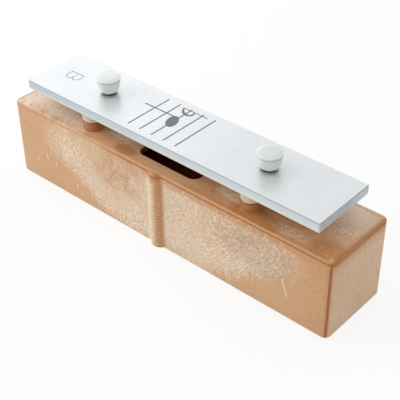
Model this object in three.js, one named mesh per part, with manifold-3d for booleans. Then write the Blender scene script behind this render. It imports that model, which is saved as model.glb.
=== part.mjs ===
// A resonator bar: one tuned aluminium bar that floats on soft cushions above a moulded, hollow
// resonator box. Two knobbed pins at the bar's quiet points keep it from falling off.
// Millimetres, +Z up. The origin is on the ground under the middle of the box, +X runs along the bar.

import * as THREE from 'three';
import { mergeVertices } from 'three/addons/utils/BufferGeometryUtils.js';
import Module from 'manifold-3d';

// Sound bar
const BAR_LENGTH = 225;
const BAR_WIDTH = 45;
const BAR_THICKNESS = 6;
const BAR_CORNER_RADIUS = 0.9;
const BAR_EDGE_CHAMFER = 0.5;

// Resonator box, outside
const BOX_LENGTH = 250;
const BOX_WIDTH = 52.5;
const BOX_HEIGHT = 53;
const BOX_CORNER_RADIUS = 4;
const BOX_TOP_FILLET = 1.6;

// Half-round rib at the middle of each long side
const RIB_RADIUS = 5.8;
const RIB_PROUD = 3;

// Resonator box, walls and the sound mouth in its top
const SIDE_WALL = 3.5;
const TOP_WALL = 3.8;
const MOUTH_LENGTH = 46.6;
const MOUTH_WIDTH = 34.4;
const MOUTH_CORNER_RADIUS = 5.4;
const MOUTH_LIP = 0.5;

// Supports on the bar's two quiet lines
const QUIET_LINE_SPACING = 125;
const SUPPORT_SPREAD = 30.4;
const SUPPORT_BOSS_DIAMETER = 12.4;
const SUPPORT_BOSS_HEIGHT = 5.6;
const BOSS_EDGE_RADIUS = 0.6;
const CUSHION_DIAMETER = 12.4;
const CUSHION_THICKNESS = 6.2;
const CUSHION_EDGE_RADIUS = 0.8;

// Pins, their sleeves and the sockets that grip them
const PIN_DIAMETER = 4;
const PIN_TIP_TAPER = 1;
const PIN_DEPTH_IN_BOX = 20;
const PIN_DEPTH_IN_KNOB = 6.5;
const PIN_CLEARANCE = 0.3;
const PIN_BOSS_DIAMETER = 11;
const PIN_BOSS_HEIGHT = 4;
const SOCKET_WALL = 3.2;
const SOCKET_FLOOR = 2.5;
const SOCKET_END_GAP = 1;
const GUSSET_REACH = 9;
const GUSSET_HEIGHT = 14;
const GUSSET_THICKNESS = 2;
const SLEEVE_DIAMETER = 6.8;
const SLEEVE_PLAY = 0.8;

// Knobs
const KNOB_LIFT = 1.2;
const KNOB_DIAMETER = 15.4;
const KNOB_FOOT_DIAMETER = 10.8;
const KNOB_BOWL_DIAMETER = 14.8;
const KNOB_BOWL_HEIGHT = 7.8;
const KNOB_GROOVE_DEPTH = 0.7;
const KNOB_GROOVE_HEIGHT = 0.5;
const KNOB_DISC_THICKNESS = 1.2;
const KNOB_CROWN = 0.5;
const KNOB_FOOT_RADIUS = 0.6;

// Base plate that closes the box from below
const PLATE_THICKNESS = 3;
const PLATE_RECESS = 0.4;
const PLATE_CLEARANCE = 0.3;
const REBATE_WALL = 1.8;
const PLATE_RIB_HEIGHT = 3;
const PLATE_RIB_THICKNESS = 1.8;
const PLATE_RIB_SPREAD = 20;
const PLATE_RIB_SETBACK = 14;
const PLATE_CROSS_RIB_SPREAD = 80;

// Screws and the columns that they bite into
const SCREW_DIAMETER = 3;
const SCREW_LENGTH = 12;
const SCREW_HEAD_DIAMETER = 5.6;
const SCREW_HEAD_HEIGHT = 1.6;
const SCREW_HEAD_SINK = 0.2;
const SCREW_CLEARANCE = 0.3;
const SCREW_DRIVE_DIAMETER = 2.4;
const SCREW_DRIVE_DEPTH = 0.9;
const COLUMN_DIAMETER = 8;
const COLUMN_HEIGHT = 20;
const COLUMN_SINK = 0.5;
const PILOT_SPARE_DEPTH = 2;

// Rubber feet
const FOOT_DIAMETER = 12;
const FOOT_PROUD = 0.6;
const FOOT_POCKET_DEPTH = 1.2;
const FOOT_CLEARANCE = 0.3;
const FOOT_EDGE_RADIUS = 0.5;
const FOOT_END_INSET = 26;
const FOOT_SIDE_INSET = 12;

// Steps along round shapes
const ROUND_STEPS = 24;
const FINE_ROUND_STEPS = 36;
const SMALL_ROUND_STEPS = 16;
const CORNER_STEPS = 5;
const RIB_STEPS = 12;
const FILLET_STEPS = 3;
const BOWL_STEPS = 5;
const CROWN_STEPS = 3;
const DISC_EDGE_STEPS = 5;

// How far a cutter runs past the face that it opens, or a join sinks into its neighbour
const OVERRUN = 1;

// Heights that follow from the sizes above
const RIM_Z = FOOT_PROUD;
const PLATE_Z = RIM_Z + PLATE_RECESS;
const PLATE_TOP_Z = PLATE_Z + PLATE_THICKNESS;
const BOX_TOP_Z = RIM_Z + BOX_HEIGHT;
const CHAMBER_TOP_Z = BOX_TOP_Z - TOP_WALL;
const CUSHION_Z = BOX_TOP_Z + SUPPORT_BOSS_HEIGHT;
const BAR_Z = CUSHION_Z + CUSHION_THICKNESS;
const BAR_TOP_Z = BAR_Z + BAR_THICKNESS;
const KNOB_Z = BAR_TOP_Z + KNOB_LIFT;
const SLEEVE_Z = BOX_TOP_Z + PIN_BOSS_HEIGHT;
const PIN_Z = BOX_TOP_Z - PIN_DEPTH_IN_BOX;

// Places that follow from the sizes above
const QUIET_LINE_X = QUIET_LINE_SPACING / 2;
const SUPPORT_Y = SUPPORT_SPREAD / 2;
const RIB_AXIS_Y = BOX_WIDTH / 2 + RIB_PROUD - RIB_RADIUS;
const PIN_BORE_RADIUS = PIN_DIAMETER / 2 + PIN_CLEARANCE;
const POST_RADIUS = PIN_BORE_RADIUS + SOCKET_WALL;
const SCREW_HOLE_RADIUS = SCREW_DIAMETER / 2 + SCREW_CLEARANCE;
const HEAD_POCKET_RADIUS = SCREW_HEAD_DIAMETER / 2 + SCREW_CLEARANCE;
const COLUMN_X = BOX_LENGTH / 2 - SIDE_WALL - COLUMN_DIAMETER / 2 + COLUMN_SINK;
const COLUMN_Y = BOX_WIDTH / 2 - SIDE_WALL - COLUMN_DIAMETER / 2 + COLUMN_SINK;
const RIB_COLUMN_Y = RIB_AXIS_Y + RIB_RADIUS - SIDE_WALL - COLUMN_DIAMETER / 2 + COLUMN_SINK;
const FOOT_X = BOX_LENGTH / 2 - FOOT_END_INSET;
const FOOT_Y = BOX_WIDTH / 2 - FOOT_SIDE_INSET;
const FOOT_HEIGHT = PLATE_Z + FOOT_POCKET_DEPTH;

const SIDES = [-1, 1];
const SCREW_PLACES = [
  [-COLUMN_X, -COLUMN_Y],
  [0, -RIB_COLUMN_Y],
  [COLUMN_X, -COLUMN_Y],
  [COLUMN_X, COLUMN_Y],
  [0, RIB_COLUMN_Y],
  [-COLUMN_X, COLUMN_Y],
];
const SUPPORT_PLACES = SIDES.flatMap((sx) => SIDES.map((sy) => [sx * QUIET_LINE_X, sy * SUPPORT_Y]));
const FOOT_PLACES = SIDES.flatMap((sx) => SIDES.map((sy) => [sx * FOOT_X, sy * FOOT_Y]));

const wasm = await Module();
wasm.setup();

// A closed three.js geometry as a solid that can be joined and cut.
function solid(geometry) {
  const bare = geometry.clone();
  bare.deleteAttribute('normal');
  bare.deleteAttribute('uv');
  const merged = mergeVertices(bare, 1e-4);
  const index = merged.index.array;
  const triangles = [];
  for (let i = 0; i < index.length; i += 3) {
    const [a, b, c] = [index[i], index[i + 1], index[i + 2]];
    if (a !== b && b !== c && c !== a) triangles.push(a, b, c);
  }
  return new wasm.Manifold(new wasm.Mesh({
    numProp: 3,
    vertProperties: new Float32Array(merged.attributes.position.array),
    triVerts: new Uint32Array(triangles),
  }));
}

// A solid back as a flat-shaded three.js geometry.
function geometryOf(body) {
  const mesh = body.getMesh();
  const geometry = new THREE.BufferGeometry();
  geometry.setAttribute('position', new THREE.BufferAttribute(new Float32Array(mesh.vertProperties), 3));
  geometry.setIndex(new THREE.BufferAttribute(new Uint32Array(mesh.triVerts), 1));
  const flat = geometry.toNonIndexed();
  flat.computeVertexNormals();
  return flat;
}

// A round arc as [x, y] points, both ends included.
function arc(cx, cy, radius, from, to, steps) {
  return Array.from({ length: steps + 1 }, (_, i) => {
    const angle = from + ((to - from) * i) / steps;
    return [cx + radius * Math.cos(angle), cy + radius * Math.sin(angle)];
  });
}

// A rectangle with round corners, anticlockwise from the right side.
function roundedRectangle(length, width, radius) {
  const x = length / 2 - radius;
  const y = width / 2 - radius;
  const quarter = Math.PI / 2;
  return [
    ...arc(x, y, radius, 0, quarter, CORNER_STEPS),
    ...arc(-x, y, radius, quarter, 2 * quarter, CORNER_STEPS),
    ...arc(-x, -y, radius, 2 * quarter, 3 * quarter, CORNER_STEPS),
    ...arc(x, -y, radius, 3 * quarter, 4 * quarter, CORNER_STEPS),
  ];
}

// The box's outline with its two ribs, drawn in by the same inset all round.
function boxOutline(inset) {
  const radius = BOX_CORNER_RADIUS - inset;
  const x = BOX_LENGTH / 2 - inset - radius;
  const y = BOX_WIDTH / 2 - inset - radius;
  const rib = RIB_RADIUS - inset;
  const rise = Math.asin((BOX_WIDTH / 2 - inset - RIB_AXIS_Y) / rib);
  const quarter = Math.PI / 2;
  return [
    ...arc(x, y, radius, 0, quarter, CORNER_STEPS),
    ...arc(0, RIB_AXIS_Y, rib, rise, Math.PI - rise, RIB_STEPS),
    ...arc(-x, y, radius, quarter, 2 * quarter, CORNER_STEPS),
    ...arc(-x, -y, radius, 2 * quarter, 3 * quarter, CORNER_STEPS),
    ...arc(0, -RIB_AXIS_Y, rib, Math.PI + rise, 2 * Math.PI - rise, RIB_STEPS),
    ...arc(x, -y, radius, 3 * quarter, 4 * quarter, CORNER_STEPS),
  ];
}

// A closed body through a stack of outlines, lowest first, each with as many points as the next.
function loft(rings) {
  const count = rings[0].outline.length;
  const positions = rings.flatMap(({ z, outline }) => outline.flatMap(([x, y]) => [x, y, z]));
  const index = [];
  for (let ring = 0; ring + 1 < rings.length; ring += 1) {
    for (let i = 0; i < count; i += 1) {
      const a = ring * count + i;
      const b = ring * count + ((i + 1) % count);
      index.push(a, b, b + count, a, b + count, a + count);
    }
  }
  const capOf = ({ outline }) => THREE.ShapeUtils.triangulateShape(outline.map((p) => new THREE.Vector2(...p)), []);
  const last = (rings.length - 1) * count;
  for (const [a, b, c] of capOf(rings[0])) index.push(a, c, b);
  for (const [a, b, c] of capOf(rings[rings.length - 1])) index.push(last + a, last + b, last + c);
  const geometry = new THREE.BufferGeometry();
  geometry.setAttribute('position', new THREE.Float32BufferAttribute(positions, 3));
  geometry.setIndex(index);
  return geometry;
}

// A straight prism of one outline.
function prism(outline, bottom, top) {
  return loft([{ z: bottom, outline }, { z: top, outline }]);
}

// A body turned about +Z from [radius, z] points that start and end on the axis, lowest first.
function turned(profile, steps = ROUND_STEPS) {
  const points = profile.map(([r, z]) => new THREE.Vector2(r, z));
  return new THREE.LatheGeometry(points, steps).rotateX(Math.PI / 2);
}

// An upright cylinder between two heights.
function cylinder(radius, bottom, top, x = 0, y = 0, steps = ROUND_STEPS) {
  const geometry = new THREE.CylinderGeometry(radius, radius, top - bottom, steps);
  return geometry.rotateX(Math.PI / 2).translate(x, y, (bottom + top) / 2);
}

// The rounded upper edge of a turned body, as [radius, z] points from its side to its top.
function topEdge(radius, top, edge) {
  return arc(radius - edge, top - edge, edge, 0, Math.PI / 2, FILLET_STEPS);
}

// The same for a lower edge, from its underside to its side.
function bottomEdge(radius, bottom, edge) {
  return arc(radius - edge, bottom + edge, edge, -Math.PI / 2, 0, FILLET_STEPS);
}

function joined(bodies) {
  return bodies.reduce((sum, body) => sum.add(body));
}

// Moulded box: open below, with the sound mouth, bosses, sockets and screw columns in one piece.
function resonatorShell() {
  const fillet = arc(0, 0, BOX_TOP_FILLET, 0, Math.PI / 2, FILLET_STEPS);
  const outside = loft([
    { z: RIM_Z, outline: boxOutline(0) },
    ...fillet.map(([across, up]) => ({
      z: BOX_TOP_Z - BOX_TOP_FILLET + up,
      outline: boxOutline(BOX_TOP_FILLET - across),
    })),
  ]);
  const chamber = prism(boxOutline(SIDE_WALL), RIM_Z - OVERRUN, CHAMBER_TOP_Z);
  const rebate = prism(boxOutline(REBATE_WALL), RIM_Z - OVERRUN, PLATE_TOP_Z);

  const additions = [];
  const cuts = [solid(rebate), solid(mouthCutter())];
  for (const [x, y] of SUPPORT_PLACES) {
    additions.push(solid(boss(SUPPORT_BOSS_DIAMETER / 2, SUPPORT_BOSS_HEIGHT)).translate(x, y, 0));
  }
  for (const side of SIDES) {
    const x = side * QUIET_LINE_X;
    const socketBottom = PIN_Z - SOCKET_END_GAP;
    additions.push(solid(boss(PIN_BOSS_DIAMETER / 2, PIN_BOSS_HEIGHT)).translate(x, 0, 0));
    additions.push(solid(cylinder(POST_RADIUS, socketBottom - SOCKET_FLOOR, CHAMBER_TOP_Z + OVERRUN, x)));
    additions.push(solid(gusset()).translate(x, 0, 0));
    cuts.push(solid(cylinder(PIN_BORE_RADIUS, socketBottom, SLEEVE_Z + OVERRUN, x)));
  }
  for (const [x, y] of SCREW_PLACES) {
    const pilotTop = PLATE_TOP_Z + pilotDepth();
    additions.push(solid(cylinder(COLUMN_DIAMETER / 2, PLATE_TOP_Z, PLATE_TOP_Z + COLUMN_HEIGHT, x, y)));
    cuts.push(solid(cylinder(SCREW_HOLE_RADIUS, RIM_Z, pilotTop, x, y, SMALL_ROUND_STEPS)));
  }
  const walls = solid(outside).subtract(solid(chamber));
  return joined([walls, ...additions]).subtract(joined(cuts));
}

// The mouth is cut through the top wall, with a softened upper edge.
function mouthCutter() {
  const outline = (grow) => roundedRectangle(
    MOUTH_LENGTH + 2 * grow, MOUTH_WIDTH + 2 * grow, MOUTH_CORNER_RADIUS + grow);
  const lip = arc(MOUTH_LIP, 0, MOUTH_LIP, Math.PI, Math.PI / 2, FILLET_STEPS);
  return loft([
    { z: CHAMBER_TOP_Z - OVERRUN, outline: outline(0) },
    ...lip.map(([grow, up]) => ({ z: BOX_TOP_Z - MOUTH_LIP + up, outline: outline(grow) })),
    { z: BOX_TOP_Z + OVERRUN, outline: outline(MOUTH_LIP) },
  ]);
}

// A round boss that stands on the box's top face.
function boss(radius, height) {
  const top = BOX_TOP_Z + height;
  return turned([[0, BOX_TOP_Z - OVERRUN], [radius, BOX_TOP_Z - OVERRUN],
    ...topEdge(radius, top, BOSS_EDGE_RADIUS), [0, top]]);
}

// Two webs that brace a pin's post against the underside of the top wall, along the box.
function gusset() {
  const reach = POST_RADIUS + GUSSET_REACH;
  const web = new THREE.Shape([
    new THREE.Vector2(-reach, CHAMBER_TOP_Z),
    new THREE.Vector2(-POST_RADIUS / 2, CHAMBER_TOP_Z - GUSSET_HEIGHT),
    new THREE.Vector2(POST_RADIUS / 2, CHAMBER_TOP_Z - GUSSET_HEIGHT),
    new THREE.Vector2(reach, CHAMBER_TOP_Z),
    new THREE.Vector2(reach, CHAMBER_TOP_Z + OVERRUN),
    new THREE.Vector2(-reach, CHAMBER_TOP_Z + OVERRUN),
  ]);
  const geometry = new THREE.ExtrudeGeometry(web, { depth: GUSSET_THICKNESS, bevelEnabled: false });
  return geometry.rotateX(Math.PI / 2).translate(0, GUSSET_THICKNESS / 2, 0);
}

// How deep a screw's hole runs above the base plate.
function pilotDepth() {
  return SCREW_LENGTH - screwGrip() + PILOT_SPARE_DEPTH;
}

// Thickness of base plate under a screw's head.
function screwGrip() {
  return PLATE_THICKNESS - SCREW_HEAD_HEIGHT - SCREW_HEAD_SINK;
}

// Base plate with pockets for the feet, counterbored screw holes and a grid of ribs inside.
function basePlate() {
  const sheet = prism(boxOutline(REBATE_WALL + PLATE_CLEARANCE), PLATE_Z, PLATE_TOP_Z);
  const plateLength = BOX_LENGTH - 2 * (REBATE_WALL + PLATE_CLEARANCE);
  const ribLength = plateLength - 2 * PLATE_RIB_SETBACK;
  const ribHeight = PLATE_RIB_HEIGHT + OVERRUN;
  const ribZ = PLATE_TOP_Z + PLATE_RIB_HEIGHT - ribHeight / 2;
  const ribs = SIDES.flatMap((side) => [
    new THREE.BoxGeometry(ribLength, PLATE_RIB_THICKNESS, ribHeight)
      .translate(0, (side * PLATE_RIB_SPREAD) / 2, ribZ),
    new THREE.BoxGeometry(PLATE_RIB_THICKNESS, PLATE_RIB_SPREAD, ribHeight)
      .translate((side * PLATE_CROSS_RIB_SPREAD) / 2, 0, ribZ),
  ]);
  const cuts = FOOT_PLACES.map(([x, y]) => solid(
    cylinder(FOOT_DIAMETER / 2 + FOOT_CLEARANCE, PLATE_Z - OVERRUN, FOOT_HEIGHT, x, y)));
  for (const [x, y] of SCREW_PLACES) {
    const seat = PLATE_TOP_Z - screwGrip();
    cuts.push(solid(cylinder(SCREW_HOLE_RADIUS, PLATE_Z, PLATE_TOP_Z + OVERRUN, x, y, SMALL_ROUND_STEPS)));
    cuts.push(solid(cylinder(HEAD_POCKET_RADIUS, PLATE_Z - OVERRUN, seat, x, y, SMALL_ROUND_STEPS)));
  }
  return joined([solid(sheet), ...ribs.map(solid)]).subtract(joined(cuts));
}

// Screw that points up, with its origin where the head meets the plate.
function baseScrew() {
  const head = SCREW_HEAD_DIAMETER / 2;
  const shank = SCREW_DIAMETER / 2;
  const body = turned([
    [0, -SCREW_HEAD_HEIGHT], [head - SCREW_HEAD_SINK, -SCREW_HEAD_HEIGHT], [head, 0],
    [shank, 0], [shank, SCREW_LENGTH - shank], [0, SCREW_LENGTH],
  ], SMALL_ROUND_STEPS);
  const across = new THREE.BoxGeometry(SCREW_DRIVE_DIAMETER, SCREW_DRIVE_DEPTH, 2 * SCREW_DRIVE_DEPTH);
  const along = new THREE.BoxGeometry(SCREW_DRIVE_DEPTH, SCREW_DRIVE_DIAMETER, 2 * SCREW_DRIVE_DEPTH);
  const drive = solid(across).add(solid(along)).translate(0, 0, -SCREW_HEAD_HEIGHT);
  return solid(body).subtract(drive);
}

// Rubber foot, origin on the ground.
function rubberFoot() {
  const radius = FOOT_DIAMETER / 2;
  return solid(turned([[0, 0], ...bottomEdge(radius, 0, FOOT_EDGE_RADIUS), [radius, FOOT_HEIGHT], [0, FOOT_HEIGHT]]));
}

// Soft round cushion, origin on its boss.
function barCushion() {
  const radius = CUSHION_DIAMETER / 2;
  return solid(turned([[0, 0], ...bottomEdge(radius, 0, CUSHION_EDGE_RADIUS),
    ...topEdge(radius, CUSHION_THICKNESS, CUSHION_EDGE_RADIUS), [0, CUSHION_THICKNESS]]));
}

// Flat bar with broken edges and a hole on each quiet line, origin under its middle.
function soundBar() {
  const outline = (inset) => roundedRectangle(
    BAR_LENGTH - 2 * inset, BAR_WIDTH - 2 * inset, BAR_CORNER_RADIUS - inset);
  const slab = loft([
    { z: 0, outline: outline(BAR_EDGE_CHAMFER) },
    { z: BAR_EDGE_CHAMFER, outline: outline(0) },
    { z: BAR_THICKNESS - BAR_EDGE_CHAMFER, outline: outline(0) },
    { z: BAR_THICKNESS, outline: outline(BAR_EDGE_CHAMFER) },
  ]);
  const hole = SLEEVE_DIAMETER / 2 + SLEEVE_PLAY;
  const holes = SIDES.map((side) => solid(
    cylinder(hole, -OVERRUN, BAR_THICKNESS + OVERRUN, side * QUIET_LINE_X)));
  return solid(slab).subtract(joined(holes));
}

// Steel pin with a tapered tip, origin at the tip.
function pin() {
  const radius = PIN_DIAMETER / 2;
  const length = KNOB_Z + PIN_DEPTH_IN_KNOB - PIN_Z;
  return solid(turned([[0, 0], [radius / 2, 0], [radius, PIN_TIP_TAPER], [radius, length], [0, length]]));
}

// Soft tube round the pin, from its boss through the bar to the knob, origin on the boss.
function sleeve() {
  const length = KNOB_Z - SLEEVE_Z;
  const tube = solid(cylinder(SLEEVE_DIAMETER / 2, 0, length));
  return tube.subtract(solid(cylinder(PIN_BORE_RADIUS, -OVERRUN, length + OVERRUN)));
}

// Bowl-shaped knob under a round-edged disc, with a blind bore for the pin, origin under its middle.
function knob() {
  const foot = KNOB_FOOT_DIAMETER / 2;
  const bowl = KNOB_BOWL_DIAMETER / 2;
  const rim = KNOB_DIAMETER / 2;
  const groove = KNOB_BOWL_HEIGHT + KNOB_GROOVE_HEIGHT;
  const edge = KNOB_DISC_THICKNESS / 2;
  const bowlSide = Array.from({ length: BOWL_STEPS + 1 }, (_, i) => {
    const turn = (i / BOWL_STEPS) * (Math.PI / 2);
    const low = KNOB_FOOT_RADIUS;
    return [foot + (bowl - foot) * Math.sin(turn), low + (KNOB_BOWL_HEIGHT - low) * (1 - Math.cos(turn))];
  });
  const discEdge = arc(rim - edge, groove + edge, edge, -Math.PI / 2, Math.PI / 2, DISC_EDGE_STEPS);
  const crown = Array.from({ length: CROWN_STEPS }, (_, i) => {
    const inward = (i + 1) / CROWN_STEPS;
    return [(rim - edge) * (1 - inward), groove + KNOB_DISC_THICKNESS + KNOB_CROWN * (1 - (1 - inward) ** 2)];
  });
  const body = turned([
    [0, 0], ...bottomEdge(foot, 0, KNOB_FOOT_RADIUS), ...bowlSide.slice(1),
    [bowl - KNOB_GROOVE_DEPTH, KNOB_BOWL_HEIGHT], [bowl - KNOB_GROOVE_DEPTH, groove],
    ...discEdge, ...crown,
  ], FINE_ROUND_STEPS);
  return solid(body).subtract(solid(cylinder(PIN_BORE_RADIUS, -OVERRUN, PIN_DEPTH_IN_KNOB)));
}

const MATERIALS = {
  casing: { color: 0xcf9b6a, roughness: 0.45, metalness: 0 },
  plate: { color: 0xb98759, roughness: 0.55, metalness: 0 },
  aluminium: { color: 0xe6e8ea, roughness: 0.38, metalness: 1 },
  knob: { color: 0xeeeeea, roughness: 0.2, metalness: 0 },
  sleeve: { color: 0xd9dcd4, roughness: 0.6, metalness: 0 },
  cushion: { color: 0xb9b4a4, roughness: 0.9, metalness: 0 },
  steel: { color: 0xb8babd, roughness: 0.3, metalness: 1 },
  rubber: { color: 0x2b2b2c, roughness: 0.85, metalness: 0 },
};

const model = new THREE.Group();

function place(parent, name, body, finish, x = 0, y = 0, z = 0) {
  const mesh = new THREE.Mesh(geometryOf(body), new THREE.MeshStandardMaterial(MATERIALS[finish]));
  mesh.name = name;
  mesh.position.set(x, y, z);
  parent.add(mesh);
}

place(model, 'resonator_shell', resonatorShell(), 'casing');
place(model, 'base_plate', basePlate(), 'plate');
SCREW_PLACES.forEach(([x, y], i) => {
  place(model, `base_screw_${i + 1}`, baseScrew(), 'steel', x, y, PLATE_TOP_Z - screwGrip());
});
FOOT_PLACES.forEach(([x, y], i) => {
  place(model, `rubber_foot_${i + 1}`, rubberFoot(), 'rubber', x, y);
});
SUPPORT_PLACES.forEach(([x, y], i) => {
  place(model, `bar_cushion_${i + 1}`, barCushion(), 'cushion', x, y, CUSHION_Z);
});
place(model, 'sound_bar', soundBar(), 'aluminium', 0, 0, BAR_Z);

// Each retaining pin is a group of its own: pin, sleeve and knob come out together.
for (const [side, label] of [[-1, 'left'], [1, 'right']]) {
  const retainer = new THREE.Group();
  retainer.position.x = side * QUIET_LINE_X;
  place(retainer, `${label}_pin`, pin(), 'steel', 0, 0, PIN_Z);
  place(retainer, `${label}_sleeve`, sleeve(), 'sleeve', 0, 0, SLEEVE_Z);
  place(retainer, `${label}_knob`, knob(), 'knob', 0, 0, KNOB_Z);
  model.add(retainer);
}

export default model;
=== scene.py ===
"""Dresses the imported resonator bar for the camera.

A satin aluminium bar lies on soft cushions over a moulded, wood-coloured resonator box, and two
knobbed pins keep it in place. Sizes are millimetres in the part's own frame: +Z up, +X along the
bar, the origin on the ground under the middle of the box. Meshes are made in metres.
"""

import logging
import math
from collections.abc import Iterable, Mapping, Sequence
from dataclasses import dataclass
from enum import Enum
from functools import reduce
from typing import Any

import bmesh
import bpy
from mathutils import Matrix, Vector


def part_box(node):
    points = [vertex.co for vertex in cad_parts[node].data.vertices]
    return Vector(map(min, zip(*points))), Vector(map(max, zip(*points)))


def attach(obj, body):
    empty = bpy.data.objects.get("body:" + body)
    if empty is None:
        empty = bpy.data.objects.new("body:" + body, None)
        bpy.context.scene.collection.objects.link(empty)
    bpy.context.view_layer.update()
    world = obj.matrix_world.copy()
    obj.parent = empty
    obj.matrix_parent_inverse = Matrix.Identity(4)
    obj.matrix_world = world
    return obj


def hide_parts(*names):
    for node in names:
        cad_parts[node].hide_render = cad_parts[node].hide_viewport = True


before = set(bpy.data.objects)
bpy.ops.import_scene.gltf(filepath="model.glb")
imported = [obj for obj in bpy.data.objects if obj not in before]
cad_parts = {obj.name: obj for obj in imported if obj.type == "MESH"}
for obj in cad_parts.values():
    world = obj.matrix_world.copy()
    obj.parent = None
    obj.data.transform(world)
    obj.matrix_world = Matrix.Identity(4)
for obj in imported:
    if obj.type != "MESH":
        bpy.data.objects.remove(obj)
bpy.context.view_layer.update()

MM = 0.001
QUARTER = math.pi / 2
SHARP_ANGLE = math.radians(32)
ORIGIN = (0.0, 0.0, 0.0)
WHITE = (1.0, 1.0, 1.0, 1.0)
SPOT_CORE = 0.15
STROKE_CORE = 0.3
SQUARELY = (0.7, 0.97)
LOG = logging.getLogger("resonator_bar")

Point = tuple[float, float]
Triple = tuple[float, float, float]


class Rider(Enum):
    """The moving bodies that a piece can ride on."""

    RESONATOR = "resonator"
    BAR = "bar"
    LEFT = "left_retainer"
    RIGHT = "right_retainer"


class Slot(Enum):
    """The material slots."""

    CASING = "casing"
    PLATE = "plate"
    ALUMINIUM = "aluminium"
    KNOB = "knob"
    SLEEVE = "sleeve"
    CUSHION = "cushion"
    STEEL = "steel"
    RUBBER = "rubber"


class Cut(Enum):
    """How one solid changes another."""

    JOIN = "UNION"
    REMOVE = "DIFFERENCE"


def linear(red: int, green: int, blue: int) -> tuple[float, float, float, float]:
    """Turns a colour as a screen shows it into the linear one that a shader takes.

    Its numbers are those of the sRGB standard.

    Args:
        red: Screen red, 0 to 255.
        green: Screen green, 0 to 255.
        blue: Screen blue, 0 to 255.

    Returns:
        The linear colour with full alpha.
    """
    def channel(value: int) -> float:
        """Linear value of one screen channel."""
        share = value / 255
        return share / 12.92 if share <= 0.04045 else ((share + 0.055) / 1.055) ** 2.4

    return (channel(red), channel(green), channel(blue), 1.0)


# Outlines and profiles


def arc(centre: Point, radius: float, start: float, end: float, steps: int) -> list[Point]:
    """Samples a round arc.

    Args:
        centre: Middle of the arc.
        radius: Its radius.
        start: First angle, in radians.
        end: Last angle, in radians.
        steps: Number of chords.

    Returns:
        Its points, both ends included.
    """
    angles = [start + (end - start) * i / steps for i in range(steps + 1)]
    return [(centre[0] + radius * math.cos(a), centre[1] + radius * math.sin(a)) for a in angles]


def rounded_rectangle(length: float, width: float, radius: float, steps: int = 10) -> list[Point]:
    """Draws a rectangle with round corners about the origin.

    Args:
        length: Size along X.
        width: Size along Y.
        radius: Corner radius.
        steps: Chords in each corner.

    Returns:
        Its points, anticlockwise.
    """
    x = length / 2 - radius
    y = width / 2 - radius
    corners = [(x, y), (-x, y), (-x, -y), (x, -y)]
    return [point for i, corner in enumerate(corners)
            for point in arc(corner, radius, i * QUARTER, (i + 1) * QUARTER, steps)]


def raised_edge(radius: float, top: float, edge: float, steps: int = 5) -> list[Point]:
    """Rounds the upper rim of a turned profile.

    Args:
        radius: Radius of the turned body.
        top: Height of its top face.
        edge: Radius of the rounding.
        steps: Chords in the rounding.

    Returns:
        Points from the side to the top face.
    """
    return arc((radius - edge, top - edge), edge, 0, QUARTER, steps)


def lowered_edge(radius: float, bottom: float, edge: float, steps: int = 5) -> list[Point]:
    """Rounds the lower rim of a turned profile.

    Args:
        radius: Radius of the turned body.
        bottom: Height of its underside.
        edge: Radius of the rounding.
        steps: Chords in the rounding.

    Returns:
        Points from the underside to the side.
    """
    return arc((radius - edge, bottom + edge), edge, -QUARTER, 0, steps)


# Solids


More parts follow.
